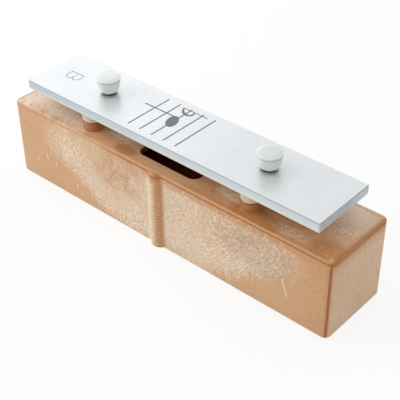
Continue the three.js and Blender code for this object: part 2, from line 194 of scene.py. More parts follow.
class Solid:
    """A closed mesh in millimetres that can be joined, cut and moved."""

    def __init__(self, mesh: bpy.types.Mesh) -> None:
        """Keeps the mesh data that the solid is made of."""
        self.mesh = mesh

    @classmethod
    def from_faces(cls, points: Sequence[Triple], faces: Sequence[Sequence[int]]) -> "Solid":
        """Makes a solid from its points and faces.

        Args:
            points: Corner points.
            faces: Corner numbers of each face, seen anticlockwise from outside.

        Returns:
            The solid.
        """
        mesh = bpy.data.meshes.new("solid")
        mesh.from_pydata(points, [], faces)
        work = bmesh.new()
        work.from_mesh(mesh)
        bmesh.ops.remove_doubles(work, verts=work.verts, dist=1e-5)
        bmesh.ops.recalc_face_normals(work, faces=work.faces)
        work.to_mesh(mesh)
        work.free()
        return cls(mesh)

    @classmethod
    def loft(cls, rings: Sequence[tuple[float, Sequence[Point]]]) -> "Solid":
        """Stretches a skin over a stack of outlines and caps both ends.

        Args:
            rings: Height and outline of each level, each with as many points as the next.

        Returns:
            The closed solid.
        """
        count = len(rings[0][1])
        points = [(x, y, z) for z, outline in rings for x, y in outline]
        faces = []
        for level in range(len(rings) - 1):
            for i in range(count):
                here = level * count + i
                beside = level * count + (i + 1) % count
                faces.append((here, beside, beside + count, here + count))
        last = (len(rings) - 1) * count
        faces.append(tuple(reversed(range(count))))
        faces.append(tuple(range(last, last + count)))
        return cls.from_faces(points, faces)

    @classmethod
    def prism(cls, outline: Sequence[Point], bottom: float, top: float) -> "Solid":
        """Raises one outline straight up between two heights."""
        return cls.loft([(bottom, outline), (top, outline)])

    @classmethod
    def turned(cls, profile: Sequence[Point], steps: int = 64) -> "Solid":
        """Turns a profile about the Z axis.

        Args:
            profile: Radius and height of each point, lowest first, none on the axis.
            steps: Steps of one full turn.

        Returns:
            The closed solid.
        """
        turns = [2 * math.pi * i / steps for i in range(steps)]
        rings = [(z, [(r * math.cos(a), r * math.sin(a)) for a in turns]) for r, z in profile]
        return cls.loft(rings)

    @classmethod
    def cylinder(cls, radius: float, bottom: float, top: float, steps: int = 48) -> "Solid":
        """Makes an upright cylinder on the Z axis."""
        return cls.turned([(radius, bottom), (radius, top)], steps)

    @classmethod
    def block(cls, size: Triple, centre: Triple) -> "Solid":
        """Makes a square block from its size and centre."""
        x, y, z = (side / 2 for side in size)
        return cls.prism([(-x, -y), (x, -y), (x, y), (-x, y)], -z, z).moved(*centre)

    def moved(self, x: float = 0, y: float = 0, z: float = 0) -> "Solid":
        """Shifts the solid and returns it."""
        self.mesh.transform(Matrix.Translation((x, y, z)))
        return self

    def turned_over(self, matrix: Matrix) -> "Solid":
        """Turns the solid by a matrix and returns it."""
        self.mesh.transform(matrix)
        return self

    def combined(self, tool: "Solid", how: Cut) -> "Solid":
        """Joins the solid with a tool, or cuts the tool out of it.

        Args:
            tool: The other solid, used up by the operation.
            how: Whether to join or to remove it.

        Returns:
            The solid that results.
        """
        base = bpy.data.objects.new("base", self.mesh)
        other = bpy.data.objects.new("tool", tool.mesh)
        for obj in (base, other):
            bpy.context.scene.collection.objects.link(obj)
        change = base.modifiers.new("change", "BOOLEAN")
        change.operation = how.value
        change.object = other
        change.solver = "MANIFOLD"
        ready = base.evaluated_get(bpy.context.evaluated_depsgraph_get())
        result = bpy.data.meshes.new_from_object(ready)
        for obj, mesh in ((base, self.mesh), (other, tool.mesh)):
            bpy.data.objects.remove(obj)
            bpy.data.meshes.remove(mesh)
        return Solid(result)

    def joined(self, tools: Iterable["Solid"]) -> "Solid":
        """Joins the solid with each tool in turn."""
        return reduce(lambda body, tool: body.combined(tool, Cut.JOIN), tools, self)

    def without(self, tools: Iterable["Solid"]) -> "Solid":
        """Cuts each tool out of the solid in turn."""
        return reduce(lambda body, tool: body.combined(tool, Cut.REMOVE), tools, self)


# Shader maths


class Term:
    """A shader value that is written as a term of ordinary arithmetic."""

    def __init__(self, bench: "ShaderBench", socket: bpy.types.NodeSocket) -> None:
        """Wraps a socket of a material's node tree."""
        self.bench = bench
        self.socket = socket

    def math(self, operation: str, *others: "float | Term") -> "Term":
        """Feeds the term and others through a Math node.

        Args:
            operation: The Math node's operation.
            others: Its remaining operands.

        Returns:
            The result as a term.
        """
        return self.bench.calculated(operation, self, *others)

    def __add__(self, other: "float | Term") -> "Term":
        """Sum."""
        return self.math("ADD", other)

    def __radd__(self, other: float) -> "Term":
        """Sum with a number first."""
        return self.math("ADD", other)

    def __sub__(self, other: "float | Term") -> "Term":
        """Difference."""
        return self.math("SUBTRACT", other)

    def __rsub__(self, other: float) -> "Term":
        """Difference from a number."""
        return self.bench.calculated("SUBTRACT", other, self)

    def __mul__(self, other: "float | Term") -> "Term":
        """Product."""
        return self.math("MULTIPLY", other)

    def __rmul__(self, other: float) -> "Term":
        """Product with a number first."""
        return self.math("MULTIPLY", other)

    def __truediv__(self, other: "float | Term") -> "Term":
        """Quotient."""
        return self.math("DIVIDE", other)

    def __abs__(self) -> "Term":
        """Size without sign."""
        return self.math("ABSOLUTE")

    def least(self, other: "float | Term") -> "Term":
        """The smaller of two values."""
        return self.math("MINIMUM", other)

    def most(self, other: "float | Term") -> "Term":
        """The larger of two values."""
        return self.math("MAXIMUM", other)

    def rise(self, low: float, high: float) -> "Term":
        """Eases from 0 at one value to 1 at another.

        Args:
            low: Value that gives 0.
            high: Value that gives 1. It may be the smaller of the two.

        Returns:
            The eased share, between 0 and 1.
        """
        node = self.bench.node(
            "ShaderNodeMapRange", {"interpolation_type": "SMOOTHSTEP"},
            {"Value": self, "From Min": low, "From Max": high})
        return Term(self.bench, node.outputs["Result"])

    def within(self, low: float, high: float, soft: float) -> "Term":
        """Gives 1 between two values and eases to 0 outside them.

        Args:
            low: Lower end of the full range.
            high: Its upper end.
            soft: How far the easing reaches on each side.

        Returns:
            The eased share, between 0 and 1.
        """
        return self.rise(low - soft, low) * self.rise(high + soft, high)

    def held(self) -> "Term":
        """The value, kept between 0 and 1."""
        return self.most(0.0).least(1.0)


def strongest(terms: Iterable[Term]) -> Term:
    """The largest of several values."""
    return reduce(Term.most, terms)


@dataclass(frozen=True)
class Noise:
    """The marks of a noise: their size, their turn in radians, and their finer layers."""

    size: Triple | float
    turn: Triple = (0, 0, 0)
    detail: float = 2.0
    roughness: float = 0.5


class ShaderBench:
    """Puts the nodes into one material or world."""

    def __init__(self, owner: bpy.types.Material | bpy.types.World) -> None:
        """Empties the owner's node tree and keeps it.

        Args:
            owner: The material or world.
        """
        owner.use_nodes = True
        self.tree = owner.node_tree
        self.tree.nodes.clear()

    def node(self, kind: str, settings: Mapping[str, Any] | None = None,
             inputs: Mapping[str | int, Any] | None = None) -> bpy.types.Node:
        """Adds a node, sets it up and feeds it.

        Args:
            kind: The node's type.
            settings: Its own properties, set before its sockets.
            inputs: A value, term or socket for each named or numbered input.

        Returns:
            The new node.
        """
        node = self.tree.nodes.new(kind)
        for key, value in (settings or {}).items():
            setattr(node, key, value)
        for key, value in (inputs or {}).items():
            self.feed(node.inputs[key], value)
        return node

    def feed(self, socket: bpy.types.NodeSocket, value: Any) -> None:
        """Links a term or socket to an input, or sets a plain value on it.

        Args:
            socket: The input.
            value: A term, a socket, a number or a tuple.
        """
        if isinstance(value, Term):
            self.tree.links.new(value.socket, socket)
        elif isinstance(value, bpy.types.NodeSocket):
            self.tree.links.new(value, socket)
        else:
            socket.default_value = value

    def calculated(self, operation: str, *values: float | Term) -> Term:
        """Feeds values through a Math node, in their order."""
        node = self.node("ShaderNodeMath", {"operation": operation}, dict(enumerate(values)))
        return Term(self, node.outputs[0])

    def place(self) -> bpy.types.NodeSocket:
        """Reads the place on the object, which moves with it.

        Returns:
            The place's socket, in millimetres.
        """
        metres = self.node("ShaderNodeTexCoord").outputs["Object"]
        scaled = self.node("ShaderNodeVectorMath", {"operation": "SCALE"}, {0: metres, 3: 1 / MM})
        return scaled.outputs[0]

    def parts(self, vector: bpy.types.NodeSocket) -> tuple[Term, Term, Term]:
        """Takes a vector apart into its x, y and z terms."""
        x, y, z = self.node("ShaderNodeSeparateXYZ", inputs={0: vector}).outputs
        return Term(self, x), Term(self, y), Term(self, z)

    def facing(self) -> tuple[Term, Term, Term]:
        """Gives the surface's direction as x, y and z terms."""
        return self.parts(self.node("ShaderNodeNewGeometry").outputs["Normal"])

    def stretched(self, place: bpy.types.NodeSocket, size: Triple | float,
                  turn: Triple = (0, 0, 0)) -> bpy.types.NodeSocket:
        """Measures a place in marks of a given size that may lie at an angle.

        Args:
            place: The place, in millimetres.
            size: Size of one mark, the same all ways or along each axis.
            turn: How the marks are turned, in radians.

        Returns:
            The place in marks.
        """
        scale = size if isinstance(size, tuple) else (size, size, size)
        node = self.node("ShaderNodeMapping", {"vector_type": "TEXTURE"}, {
            "Vector": place, "Rotation": turn, "Scale": scale})
        return node.outputs[0]

    def drifted(self, place: bpy.types.NodeSocket, size: float,
                reach: float) -> bpy.types.NodeSocket:
        """Moves a place about in soft swirls.

        Args:
            place: The place, in millimetres.
            size: Size of one swirl.
            reach: How far the place is moved.

        Returns:
            The moved place.
        """
        cloud = self.node("ShaderNodeTexNoise", inputs={
            "Vector": self.stretched(place, size), "Scale": 1.0, "Detail": 1.0}).outputs["Color"]
        node = self.node("ShaderNodeVectorMath", {"operation": "MULTIPLY_ADD"}, {
            0: cloud, 1: (reach, reach, reach), 2: place})
        return node.outputs[0]

    def noise(self, place: bpy.types.NodeSocket, marks: Noise) -> Term:
        """Adds a cloud of noise.

        Args:
            place: Where to read it, in millimetres.
            marks: What its marks are like.

        Returns:
            The noise, about 0 to 1 with its middle at 0.5.
        """
        node = self.node("ShaderNodeTexNoise", inputs={
            "Vector": self.stretched(place, marks.size, marks.turn), "Scale": 1.0,
            "Detail": marks.detail, "Roughness": marks.roughness})
        return Term(self, node.outputs[0])

    def spot(self, across: Term, along: Term, centre: Point, radii: Point) -> Term:
        """Draws a soft oval in a plane.

        Args:
            across: First coordinate in the plane.
            along: Second coordinate in the plane.
            centre: Middle of the oval.
            radii: Its half sizes.

        Returns:
            1 in its middle, easing to 0 at its rim.
        """
        u = (across - centre[0]) / radii[0]
        v = (along - centre[1]) / radii[1]
        return (u * u + v * v).rise(1.0, SPOT_CORE)

    def blend(self, share: float | Term, below: Any, above: Any) -> bpy.types.NodeSocket:
        """Mixes two colours.

        Args:
            share: How much of the second colour, 0 to 1.
            below: First colour or socket.
            above: Second colour or socket.

        Returns:
            The mixed colour's socket.
        """
        node = self.node("ShaderNodeMix", {"data_type": "RGBA"}, {0: share, 6: below, 7: above})
        return node.outputs[2]

    def painted(self, base: Any,
                layers: Iterable[tuple[float | Term, Any]]) -> bpy.types.NodeSocket:
        """Lays colours over a base, one after another.

        Args:
            base: The colour or socket at the bottom.
            layers: How much shows of each layer, 0 to 1, with its colour or socket.

        Returns:
            The finished colour's socket.
        """
        for share, paint in layers:
            base = self.blend(share, base, paint)
        return base

    def stroke(self, across: Term, along: Term, start: Point, end: Point,
               half_width: float) -> Term:
        """Draws a soft straight mark in a plane.

        Args:
            across: First coordinate in the plane.
            along: Second coordinate in the plane.
            start: One end of the mark.
            end: Its other end.
            half_width: Half its width.

        Returns:
            1 on the mark and 0 away from it.
        """
        run = (end[0] - start[0], end[1] - start[1])
        square = run[0] ** 2 + run[1] ** 2
        from_x, from_y = across - start[0], along - start[1]
        share = (from_x * (run[0] / square) + from_y * (run[1] / square)).held()
        gap_x, gap_y = from_x - share * run[0], from_y - share * run[1]
        distance = (gap_x * gap_x + gap_y * gap_y).math("SQRT")
        return distance.rise(half_width, half_width * STROKE_CORE)

    def bump(self, height: Term, strength: float, distance: float) -> bpy.types.NodeSocket:
        """Turns a height into a bumped normal.

        Args:
            height: The height, about 0 to 1.
            strength: Share of the effect.
            distance: Height of a full step, in millimetres.

        Returns:
            The normal's socket.
        """
        node = self.node("ShaderNodeBump", inputs={
            "Strength": strength, "Distance": distance * MM, "Height": height})
        return node.outputs[0]

    def seen_white(self) -> Term:
        """Picks out the rays that should see the studio's plain white.

        Returns:
            1 for those rays and 0 for others.
        """
        path = self.node("ShaderNodeLightPath")
        names = ("Is Camera Ray", "Is Glossy Ray", "Is Transmission Ray")
        return strongest(Term(self, path.outputs[name]) for name in names)

    def mixed(self, share: Term, first: bpy.types.Node,
              second: bpy.types.Node) -> bpy.types.NodeSocket:
        """Mixes two shaders by how much of the second one shows."""
        return self.node("ShaderNodeMixShader", inputs={
            0: share, 1: first.outputs[0], 2: second.outputs[0]}).outputs[0]

    def close(self, shader: bpy.types.NodeSocket,
              output: str = "ShaderNodeOutputMaterial") -> None:
        """Sends a shader to the tree's output."""
        self.node(output, inputs={"Surface": shader})

    def principled(self, **inputs: Any) -> None:
        """Ends a material in a Principled shader.

        Args:
            inputs: The shader's inputs, with underscores for spaces.
        """
        sockets = {key.replace("_", " "): value for key, value in inputs.items()}
        self.close(self.node("ShaderNodeBsdfPrincipled", inputs=sockets).outputs[0])


# Finishes


class Finish:
    """A surface finish that makes its material once and then hands out the same one."""

    made: dict[str, bpy.types.Material] = {}
    name: str

    def material(self) -> bpy.types.Material:
        """Gives the finish's material and makes it on first use.

        Returns:
            The material.
        """
        if self.name not in Finish.made:
            material = bpy.data.materials.new(self.name)
            self.make(ShaderBench(material))
            Finish.made[self.name] = material
        return Finish.made[self.name]

    def make(self, bench: ShaderBench) -> None:
        """Builds the material's nodes.

        Args:
            bench: The bench of an empty material.
        """
        raise NotImplementedError


@dataclass(frozen=True)
class Patch:
    """A soft oval on the box: its middle, its half sizes and how strongly it shows."""

    centre: Point
    radii: Point
    strength: float = 1.0


class BoxSkin:
    """A place on the box's surface, as terms: where it is, how it faces and its noises."""

    def __init__(self, bench: ShaderBench, look: "WoodColouredPlastic") -> None:
        """Adds the nodes that every layer of the finish reads.

        Args:
            bench: The bench of an empty material.
            look: The finish, with the marks of its noises.
        """
        place = bench.place()
        drift = bench.drifted(place, *look.drift)
        self.bench = bench
        self.x, self.y, self.z = bench.parts(place)
        self.out_x, self.out_y = abs(self.x), abs(self.y)
        self.along, self.across, self.up = (abs(part) for part in bench.facing())
        self.rib = self.out_x.rise(6.8, 6.2) * self.out_y.rise(26.3, 26.6)
        self.on_side = self.across.rise(*SQUARELY).most(self.rib)
        self.flat_side = self.on_side * (1 - self.rib)
        self.on_end = self.along.rise(*SQUARELY)
        sloping = self.up.rise(0.2, 0.75) * self.x.rise(-30.0, -60.0)
        self.on_top = self.up.rise(0.8, 0.98).most(sloping)
        self.cloud = bench.noise(place, look.cloud)
        self.grain = bench.noise(place, look.grain)
        self.streak = bench.noise(drift, look.streak)
        self.flow = bench.noise(drift, look.flow)
        self.sheen = bench.noise(drift, look.sheen)
        self.swirl = bench.noise(bench.drifted(place, *look.swirl_drift), look.swirl)
        left, right = bench.noise(drift, look.left_fibre), bench.noise(drift, look.right_fibre)
        self.fibre = left + (right - left) * self.x.rise(-30.0, 50.0)

    def top(self, patch: Patch) -> Term:
        """Draws a patch that is placed by x and y."""
        return self.bench.spot(self.x, self.y, patch.centre, patch.radii) * patch.strength

    def side(self, patch: Patch) -> Term:
        """Draws a patch that is placed by x and z."""
        return self.bench.spot(self.x, self.z, patch.centre, patch.radii) * patch.strength


@dataclass(frozen=True)
class WoodColouredPlastic(Finish):
    """Orange-brown moulded plastic with the pale, fibrous bloom that its flow leaves on it.

    A drift is the size and the reach of the swirls that a noise is moved about in.
    """

    name: str = "wood_coloured_plastic"
    plain: tuple = linear(207, 163, 120)
    top: tuple = linear(226, 176, 132)
    deep: tuple = linear(190, 128, 70)
    # Painted shade along the rounded edges, the corners and the rib's crease.
    painted_edge_shade: tuple = linear(164, 98, 38)
    bloom: tuple = linear(226, 206, 182)
    fleck: tuple = linear(248, 232, 208)
    pit: tuple = linear(192, 148, 106)
    # Pale bloom, also used as painted light by the bar's right end.
    pale: tuple = linear(246, 230, 212)
    inner: tuple = linear(176, 104, 48)
    # Painted shade: the dark brown of the mouth's wall.
    wall: tuple = linear(120, 66, 30)
    # The bosses' deeper orange: partly their own tone, partly painted shade of the bar over them.
    shade: tuple = linear(166, 98, 46)
    # Painted shade: a grey-brown that darkens a patch of the long sides.
    painted_side_shade: tuple = linear(150, 130, 112)
    # Painted highlight on the front right corner.
    painted_corner_highlight: tuple = linear(238, 166, 112)
    # Painted light: a near-white that lifts the bar's shadow on the top.
    painted_light: tuple = linear(255, 226, 186)
    half_length: float = 125.0
    half_width: float = 26.25
    height: float = 53.6
    side_wall: float = 3.5
    top_wall: float = 3.8
    mouth: Point = (23.9, 17.8)
    cloud: Noise = Noise(34.0, detail=3.0, roughness=0.6)
    grain: Noise = Noise(0.9, roughness=0.7)
    streak: Noise = Noise((2.2, 2.2, 16.0))
    flow: Noise = Noise((8.0, 8.0, 5.0), detail=1.0)
    sheen: Noise = Noise((5.0, 1.6, 4.0), (0, 0, 0.5), 3.0, 0.6)
    swirl: Noise = Noise((9.0, 5.0, 7.0), (0, 0, -0.5), roughness=0.6)
    left_fibre: Noise = Noise((1.1, 1.1, 1.6), (0, -0.35, 0), roughness=0.6)
    right_fibre: Noise = Noise((1.0, 1.0, 2.8), (0, 0.5, 0), roughness=0.6)
    drift: Point = (26.0, 20.0)
    swirl_drift: Point = (11.0, 14.0)
    # Bloom patches on the top; those under and beside the bar are painted light against its shadow.
    bloom_and_painted_light_patches: tuple[Patch, ...] = (
        Patch((111.0, 12.0), (17.0, 21.0), 0.9), Patch((-71.0, -21.0), (11.0, 5.0), 0.9),
        Patch((50.0, -12.5), (15.0, 5.5), 1.3), Patch((-42.0, -10.0), (16.0, 7.0), 0.9),
        Patch((91.0, -19.0), (15.0, 5.5), 0.4))
    pale_curls: Patch = Patch((113.0, -1.0), (12.0, 8.0))
    # Painted light: a pale spot that lifts the bar's shadow by its right end.
    palest_and_painted_light: Patch = Patch((106.0, 16.0), (14.0, 14.0), 0.8)
    dark_patches: tuple[Patch, ...] = (
        Patch((-29.0, -20.5), (11.0, 5.5)), Patch((117.0, -20.0), (16.0, 13.0)),
        Patch((70.0, -22.5), (23.0, 12.0), 1.3))
    side_stain: Patch = Patch((-18.0, 48.0), (13.0, 9.0), 0.55)
    side_whorl: Patch = Patch((-31.0, 37.0), (25.0, 17.0), 0.65)
    side_calm: Patch = Patch((-32.0, 34.0), (32.0, 25.0), 0.65)
    # Where painted light lifts the bar's shadow on the top.
    painted_light_patches: tuple[Patch, ...] = (
        Patch((50.0, -12.5), (17.0, 6.5)), Patch((-40.0, -10.0), (12.0, 5.0), 0.6))
    # Where the painted shade lies on the long sides.
    painted_side_shade_patch: Patch = Patch((76.0, 35.0), (32.0, 17.0), 0.26)
    # Where the painted highlight sits on the corner.
    painted_corner_highlight_patch: Patch = Patch((122.2, -23.6), (1.9, 1.9), 0.6)
    tick_half_width: float = 0.5
    ticks: tuple[tuple[Point, Point], ...] = (
        ((-107.6, 17.6), (-107.2, 14.2)), ((-98.0, 23.8), (-97.0, 19.6)),
        ((-89.4, 20.6), (-89.1, 18.2)), ((-70.4, 12.8), (-69.6, 8.8)),
        ((93.4, 26.2), (95.7, 20.4)), ((95.7, 20.4), (97.4, 15.5)))

    def make(self, bench: ShaderBench) -> None:
        """Builds the material's nodes.

        Args:
            bench: The bench of an empty material.
        """
        at = BoxSkin(bench, self)
        bloom = self.bloom_share(at)
        textured = self.texture(at, bloom)
        # Pale towards the left end, partly painted light against the bar's shadow, and a painted
        # light spot by the bar's right end.
        palest_and_painted_light = (at.x.rise(-50.0, -80.0) * 0.6).most(at.top(self.palest_and_painted_light))
        # Painted light that lifts the bar's shadow on the top.
        painted_light = strongest(at.top(patch) for patch in self.painted_light_patches)
        by_edge = at.out_y.rise(self.half_width - 2.2, self.half_width - 1.6)
        # Painted shade that dims the light on the top's long rounded edges.
        painted_fillet_shade = at.up.within(0.3, 0.8, 0.2) * by_edge
        boss = at.z.rise(self.height + 0.01, self.height + 0.15)
        # Partly painted shade of the bar, darker towards the bosses' tops.
        boss_painted_shade = 0.55 + 0.4 * at.cloud + 0.15 * at.z.rise(57.0, 59.2)
        # Painted highlight along the crease at the rib's left side.
        painted_crease_highlight = (at.x.within(-6.5, -5.9, 0.3) * at.out_y.within(26.0, 27.2, 0.4)
                * at.z.rise(50.0, 46.0))
        colour = bench.painted(self.plain, [
            (at.on_top, self.top),
            ((0.62 - at.cloud).held() * 0.7, self.deep),
            # Bloom, which on the top also carries painted light under the bar.
            ((bloom * 0.85).held(), self.bloom),
            (at.on_top * palest_and_painted_light * (bloom * 0.9).held(), self.pale),
            (self.dark_places(at).held(), self.deep),
            (at.fibre.rise(0.47, 0.64) * textured * 0.7, self.fleck),
            (at.fibre.rise(0.46, 0.32) * textured * 0.6, self.pit),
            (at.grain.rise(0.48, 0.3) * textured * 0.4, self.pit),
            # Painted light under the bar, streaked by the sheen noise.
            (painted_light * at.on_top * (0.35 + at.sheen.rise(0.36, 0.6) * 0.6), self.painted_light),
            # Painted shade on the top's long rounded edges.
            (painted_fillet_shade * 0.45, self.deep),
            # Painted shade on a patch of the long sides.
            (at.side(self.painted_side_shade_patch) * at.on_side, self.painted_side_shade),
            # Painted shade along the rounded edges, the corners and the rib's crease.
            (self.edges(at).held(), self.painted_edge_shade),
            # Painted highlight on the front right corner.
            (at.top(self.painted_corner_highlight_patch) * at.z.rise(51.0, 52.0), self.painted_corner_highlight),
            # Bosses: their own tone and painted shade of the bar.
            (boss * boss_painted_shade.held(), self.shade),
            (self.scuffs(at) * 0.8, self.fleck),
            # Painted highlight in the rib's left crease.
            (painted_crease_highlight * 0.75, self.fleck),
            # Painted shade on the mouth's wall.
            (self.mouth_wall(at), self.wall),
            (self.inside(at), self.inner)])
        bench.principled(
            Base_Color=colour, Roughness=0.42 + bloom * 0.14 - boss * 0.15, Specular_IOR_Level=0.45,
            Normal=bench.bump(at.grain * 0.5 + at.fibre * 0.5, 0.3, 0.1))

    def bloom_share(self, at: BoxSkin) -> Term:
        """Draws the pale bloom, with painted light on the rib's left half and on the top by the
        bar.

        Args:
            at: The place on the surface.

        Returns:
            How pale it is, about 0 to 1.
        """
        return strongest([
            self.side_bloom(at) * at.flat_side,
            # Painted light: bloom colour on the rib's left half.
            at.rib * at.x.rise(2.5, -3.0) * at.z.rise(54.0, 47.0) * 0.95,
            at.on_end * (0.1 + 0.5 * at.cloud) * (0.3 + at.streak),
            at.on_top * self.top_bloom(at)])

    def side_bloom(self, at: BoxSkin) -> Term:
        """Draws the pale field on the long sides.

        Args:
            at: The place on the surface.

        Returns:
            How pale the side is, about 0 to 1.
        """
        x, z, wander = at.x, at.z, at.streak - 0.5
        spread = abs(x - 5.0)
        low = 31.0 * spread.rise(25.0, 108.0) - 3.0 + (at.cloud - 0.5) * 20.0 + wander * 18.0
        lower = (z - low).rise(-4.0, 11.0)
        upper = (z + wander * 12.0).rise(54.0, 45.0).most(x.within(-84.0, -52.0, 10.0) * 0.8)
        fade = 1 - (z - low).rise(12.0, 32.0) * spread.rise(18.0, 48.0) * 0.5
        ends = x.rise(-104.0, -74.0) * x.rise(114.0, 76.0)
        return (lower * upper * ends * fade) * (0.6 + 0.6 * at.cloud)

    def top_bloom(self, at: BoxSkin) -> Term:
        """Draws the pale fields on the box's top: bloom, and painted light under and beside the
        bar.

        Args:
            at: The place on the surface.

        Returns:
            How pale the top is, about 0 to 1.
        """
        # Fuller towards the bar, partly as painted light under its shadow.
        fuller = at.y.rise(-24.0, -17.0).most(at.x.rise(-110.0, -118.0))
        left = at.x.rise(-56.0, -72.0) * (0.5 + 0.5 * fuller)
        fields = strongest([
            left * (0.7 + 0.5 * at.swirl.rise(0.7, 0.35)),
            at.top(self.pale_curls) * at.swirl.rise(0.45, 0.6),
            *(at.top(patch) for patch in self.bloom_and_painted_light_patches)])
        return (0.06 + fields) * (0.35 + 1.1 * at.sheen)

    def dark_places(self, at: BoxSkin) -> Term:
        """Draws where the colour turns a deeper orange, with painted shade on the rib's right half.

        Args:
            at: The place on the surface.

        Returns:
            How deep the colour is, about 0 to 1.
        """
        x, y, z = at.x, at.y, at.z
        lip = y.rise(-19.0, -22.5) * x.rise(12.0, 26.0) * 0.5
        patches = strongest([*(at.top(patch) for patch in self.dark_patches), lip])
        curl = (at.flow * 9.0).math("PINGPONG", 0.5).rise(0.2, 0.02)
        front_left = x.rise(-48.0, -62.0) * y.rise(-18.0, -24.0)
        right_half = x.rise(22.0, 34.0) * x.rise(108.0, 94.0)
        return strongest([
            patches * (0.45 + at.sheen) * at.on_top,
            at.on_top * front_left * at.swirl.rise(0.42, 0.72) * 0.7,
            at.on_top * right_half * at.sheen.rise(0.52, 0.36) * 0.7,
            at.on_top * curl * (0.1 + 0.5 * at.sheen),
            at.flat_side * curl * z.rise(14.0, 30.0) * (0.15 + 0.25 * at.cloud),
            at.flat_side * at.side(self.side_whorl) * at.swirl.rise(0.36, 0.62),
            at.on_side * z.within(49.0, 51.5, 2.5) * x.rise(-36.0, -20.0) * (0.3 + at.cloud) * 0.7,
            at.on_side * at.side(self.side_stain),
            at.on_side * x.rise(92.0, 120.0) * 0.25,
            at.on_end * z.rise(43.0, 51.5) * 0.75,
            # Painted shade on the rib's right half.
            at.rib * x.rise(0.5, 3.5) * x.rise(5.9, 4.8) * 0.75])

    def texture(self, at: BoxSkin, bloom: Term) -> Term:
        """Draws how strongly the fibres and the grain show.

        Args:
            at: The place on the surface.
            bloom: How pale it is there.

        Returns:
            Their strength, 0 to 1.
        """
        x = at.x
        smooth = at.on_top * x.rise(-40.0, -60.0).most(x.rise(95.0, 105.0) * at.y.rise(2.0, 9.0))
        calm = strongest([
            x.rise(-35.0, -60.0) * 0.12, x.within(12.0, 50.0, 12.0) * 0.2, at.side(self.side_calm)])
        crisp = 1 - strongest([smooth * 0.65, at.on_end * 0.45, calm * at.flat_side])
        return (bloom * 1.5 + 0.12).most(at.rib * 0.35).held() * crisp

    def edges(self, at: BoxSkin) -> Term:
        """Draws painted shade: dark lines along rounded edges and corners and in the rib's crease.

        Args:
            at: The place on the surface.

        Returns:
            How dark the painted shade is, about 0 to 1.
        """
        x, z, end, side = at.x, at.z, self.half_length, self.half_width
        near_rim = (at.out_y.within(side - 3.0, side - 1.8, 0.8)
                    .most(at.out_x.within(end - 3.0, end - 1.8, 0.8)))
        end_line = (z.within(50.9, 51.7, 0.6) * 0.9).most(z.rise(51.0, 52.0) * 0.7)
        low_line = z.within(self.height - 1.9, self.height - 1.1, 0.4) * (0.5 + at.grain * 0.6)
        return strongest([
            low_line * (0.3 + 0.7 * x.rise(-50.0, -28.0)),
            at.along.within(0.55, 0.7, 0.16) * at.across.rise(0.3, 0.6)
            * at.out_x.rise(end - 5.5, end - 4.0),
            near_rim * at.on_top * at.grain.rise(0.3, 0.7) * x.rise(-60.0, 20.0) * 0.4,
            at.out_x.rise(end - 3.0, end - 1.0) * end_line,
            at.out_x.rise(6.6, 5.0) * at.out_y.rise(26.2, 26.8) * z.rise(48.0, 52.0)
            * x.rise(-4.0, 2.0) * 0.5,
            x.within(5.4, 6.3, 0.35) * at.out_y.within(26.0, 28.2, 0.5) * z.rise(51.0, 48.0) * 0.4])

    def scuffs(self, at: BoxSkin) -> Term:
        """Draws the pale scuffs on the box's near long side.

        Args:
            at: The place on the surface.

        Returns:
            1 on a scuff and 0 elsewhere.
        """
        strokes = (at.bench.stroke(at.x, at.z, start, end, self.tick_half_width)
                   for start, end in self.ticks)
        return strongest(strokes) * at.y.rise(0.0, -1.0) * at.on_side

    def mouth_wall(self, at: BoxSkin) -> Term:
        """Marks the wall of the mouth, which takes painted shade.

        Args:
            at: The place on the surface.

        Returns:
            1 on the wall and 0 elsewhere.
        """
        half_length, half_width = self.mouth
        return (at.z.rise(self.height - 0.1, self.height - 0.7)
                * at.out_x.rise(half_length, half_length - 0.2)
                * at.out_y.rise(half_width, half_width - 0.2))

    def inside(self, at: BoxSkin) -> Term:
        """Marks the faces of the air chamber.

        Args:
            at: The place on the surface.

        Returns:
            1 on them and 0 elsewhere.
        """
        ceiling = self.height - self.top_wall
        end, side = self.half_length - self.side_wall, self.half_width - self.side_wall
        return (at.z.rise(ceiling + 0.6, ceiling + 0.2) * at.out_x.rise(end + 0.6, end + 0.3)
                * at.out_y.rise(side + 0.6, side + 0.3))


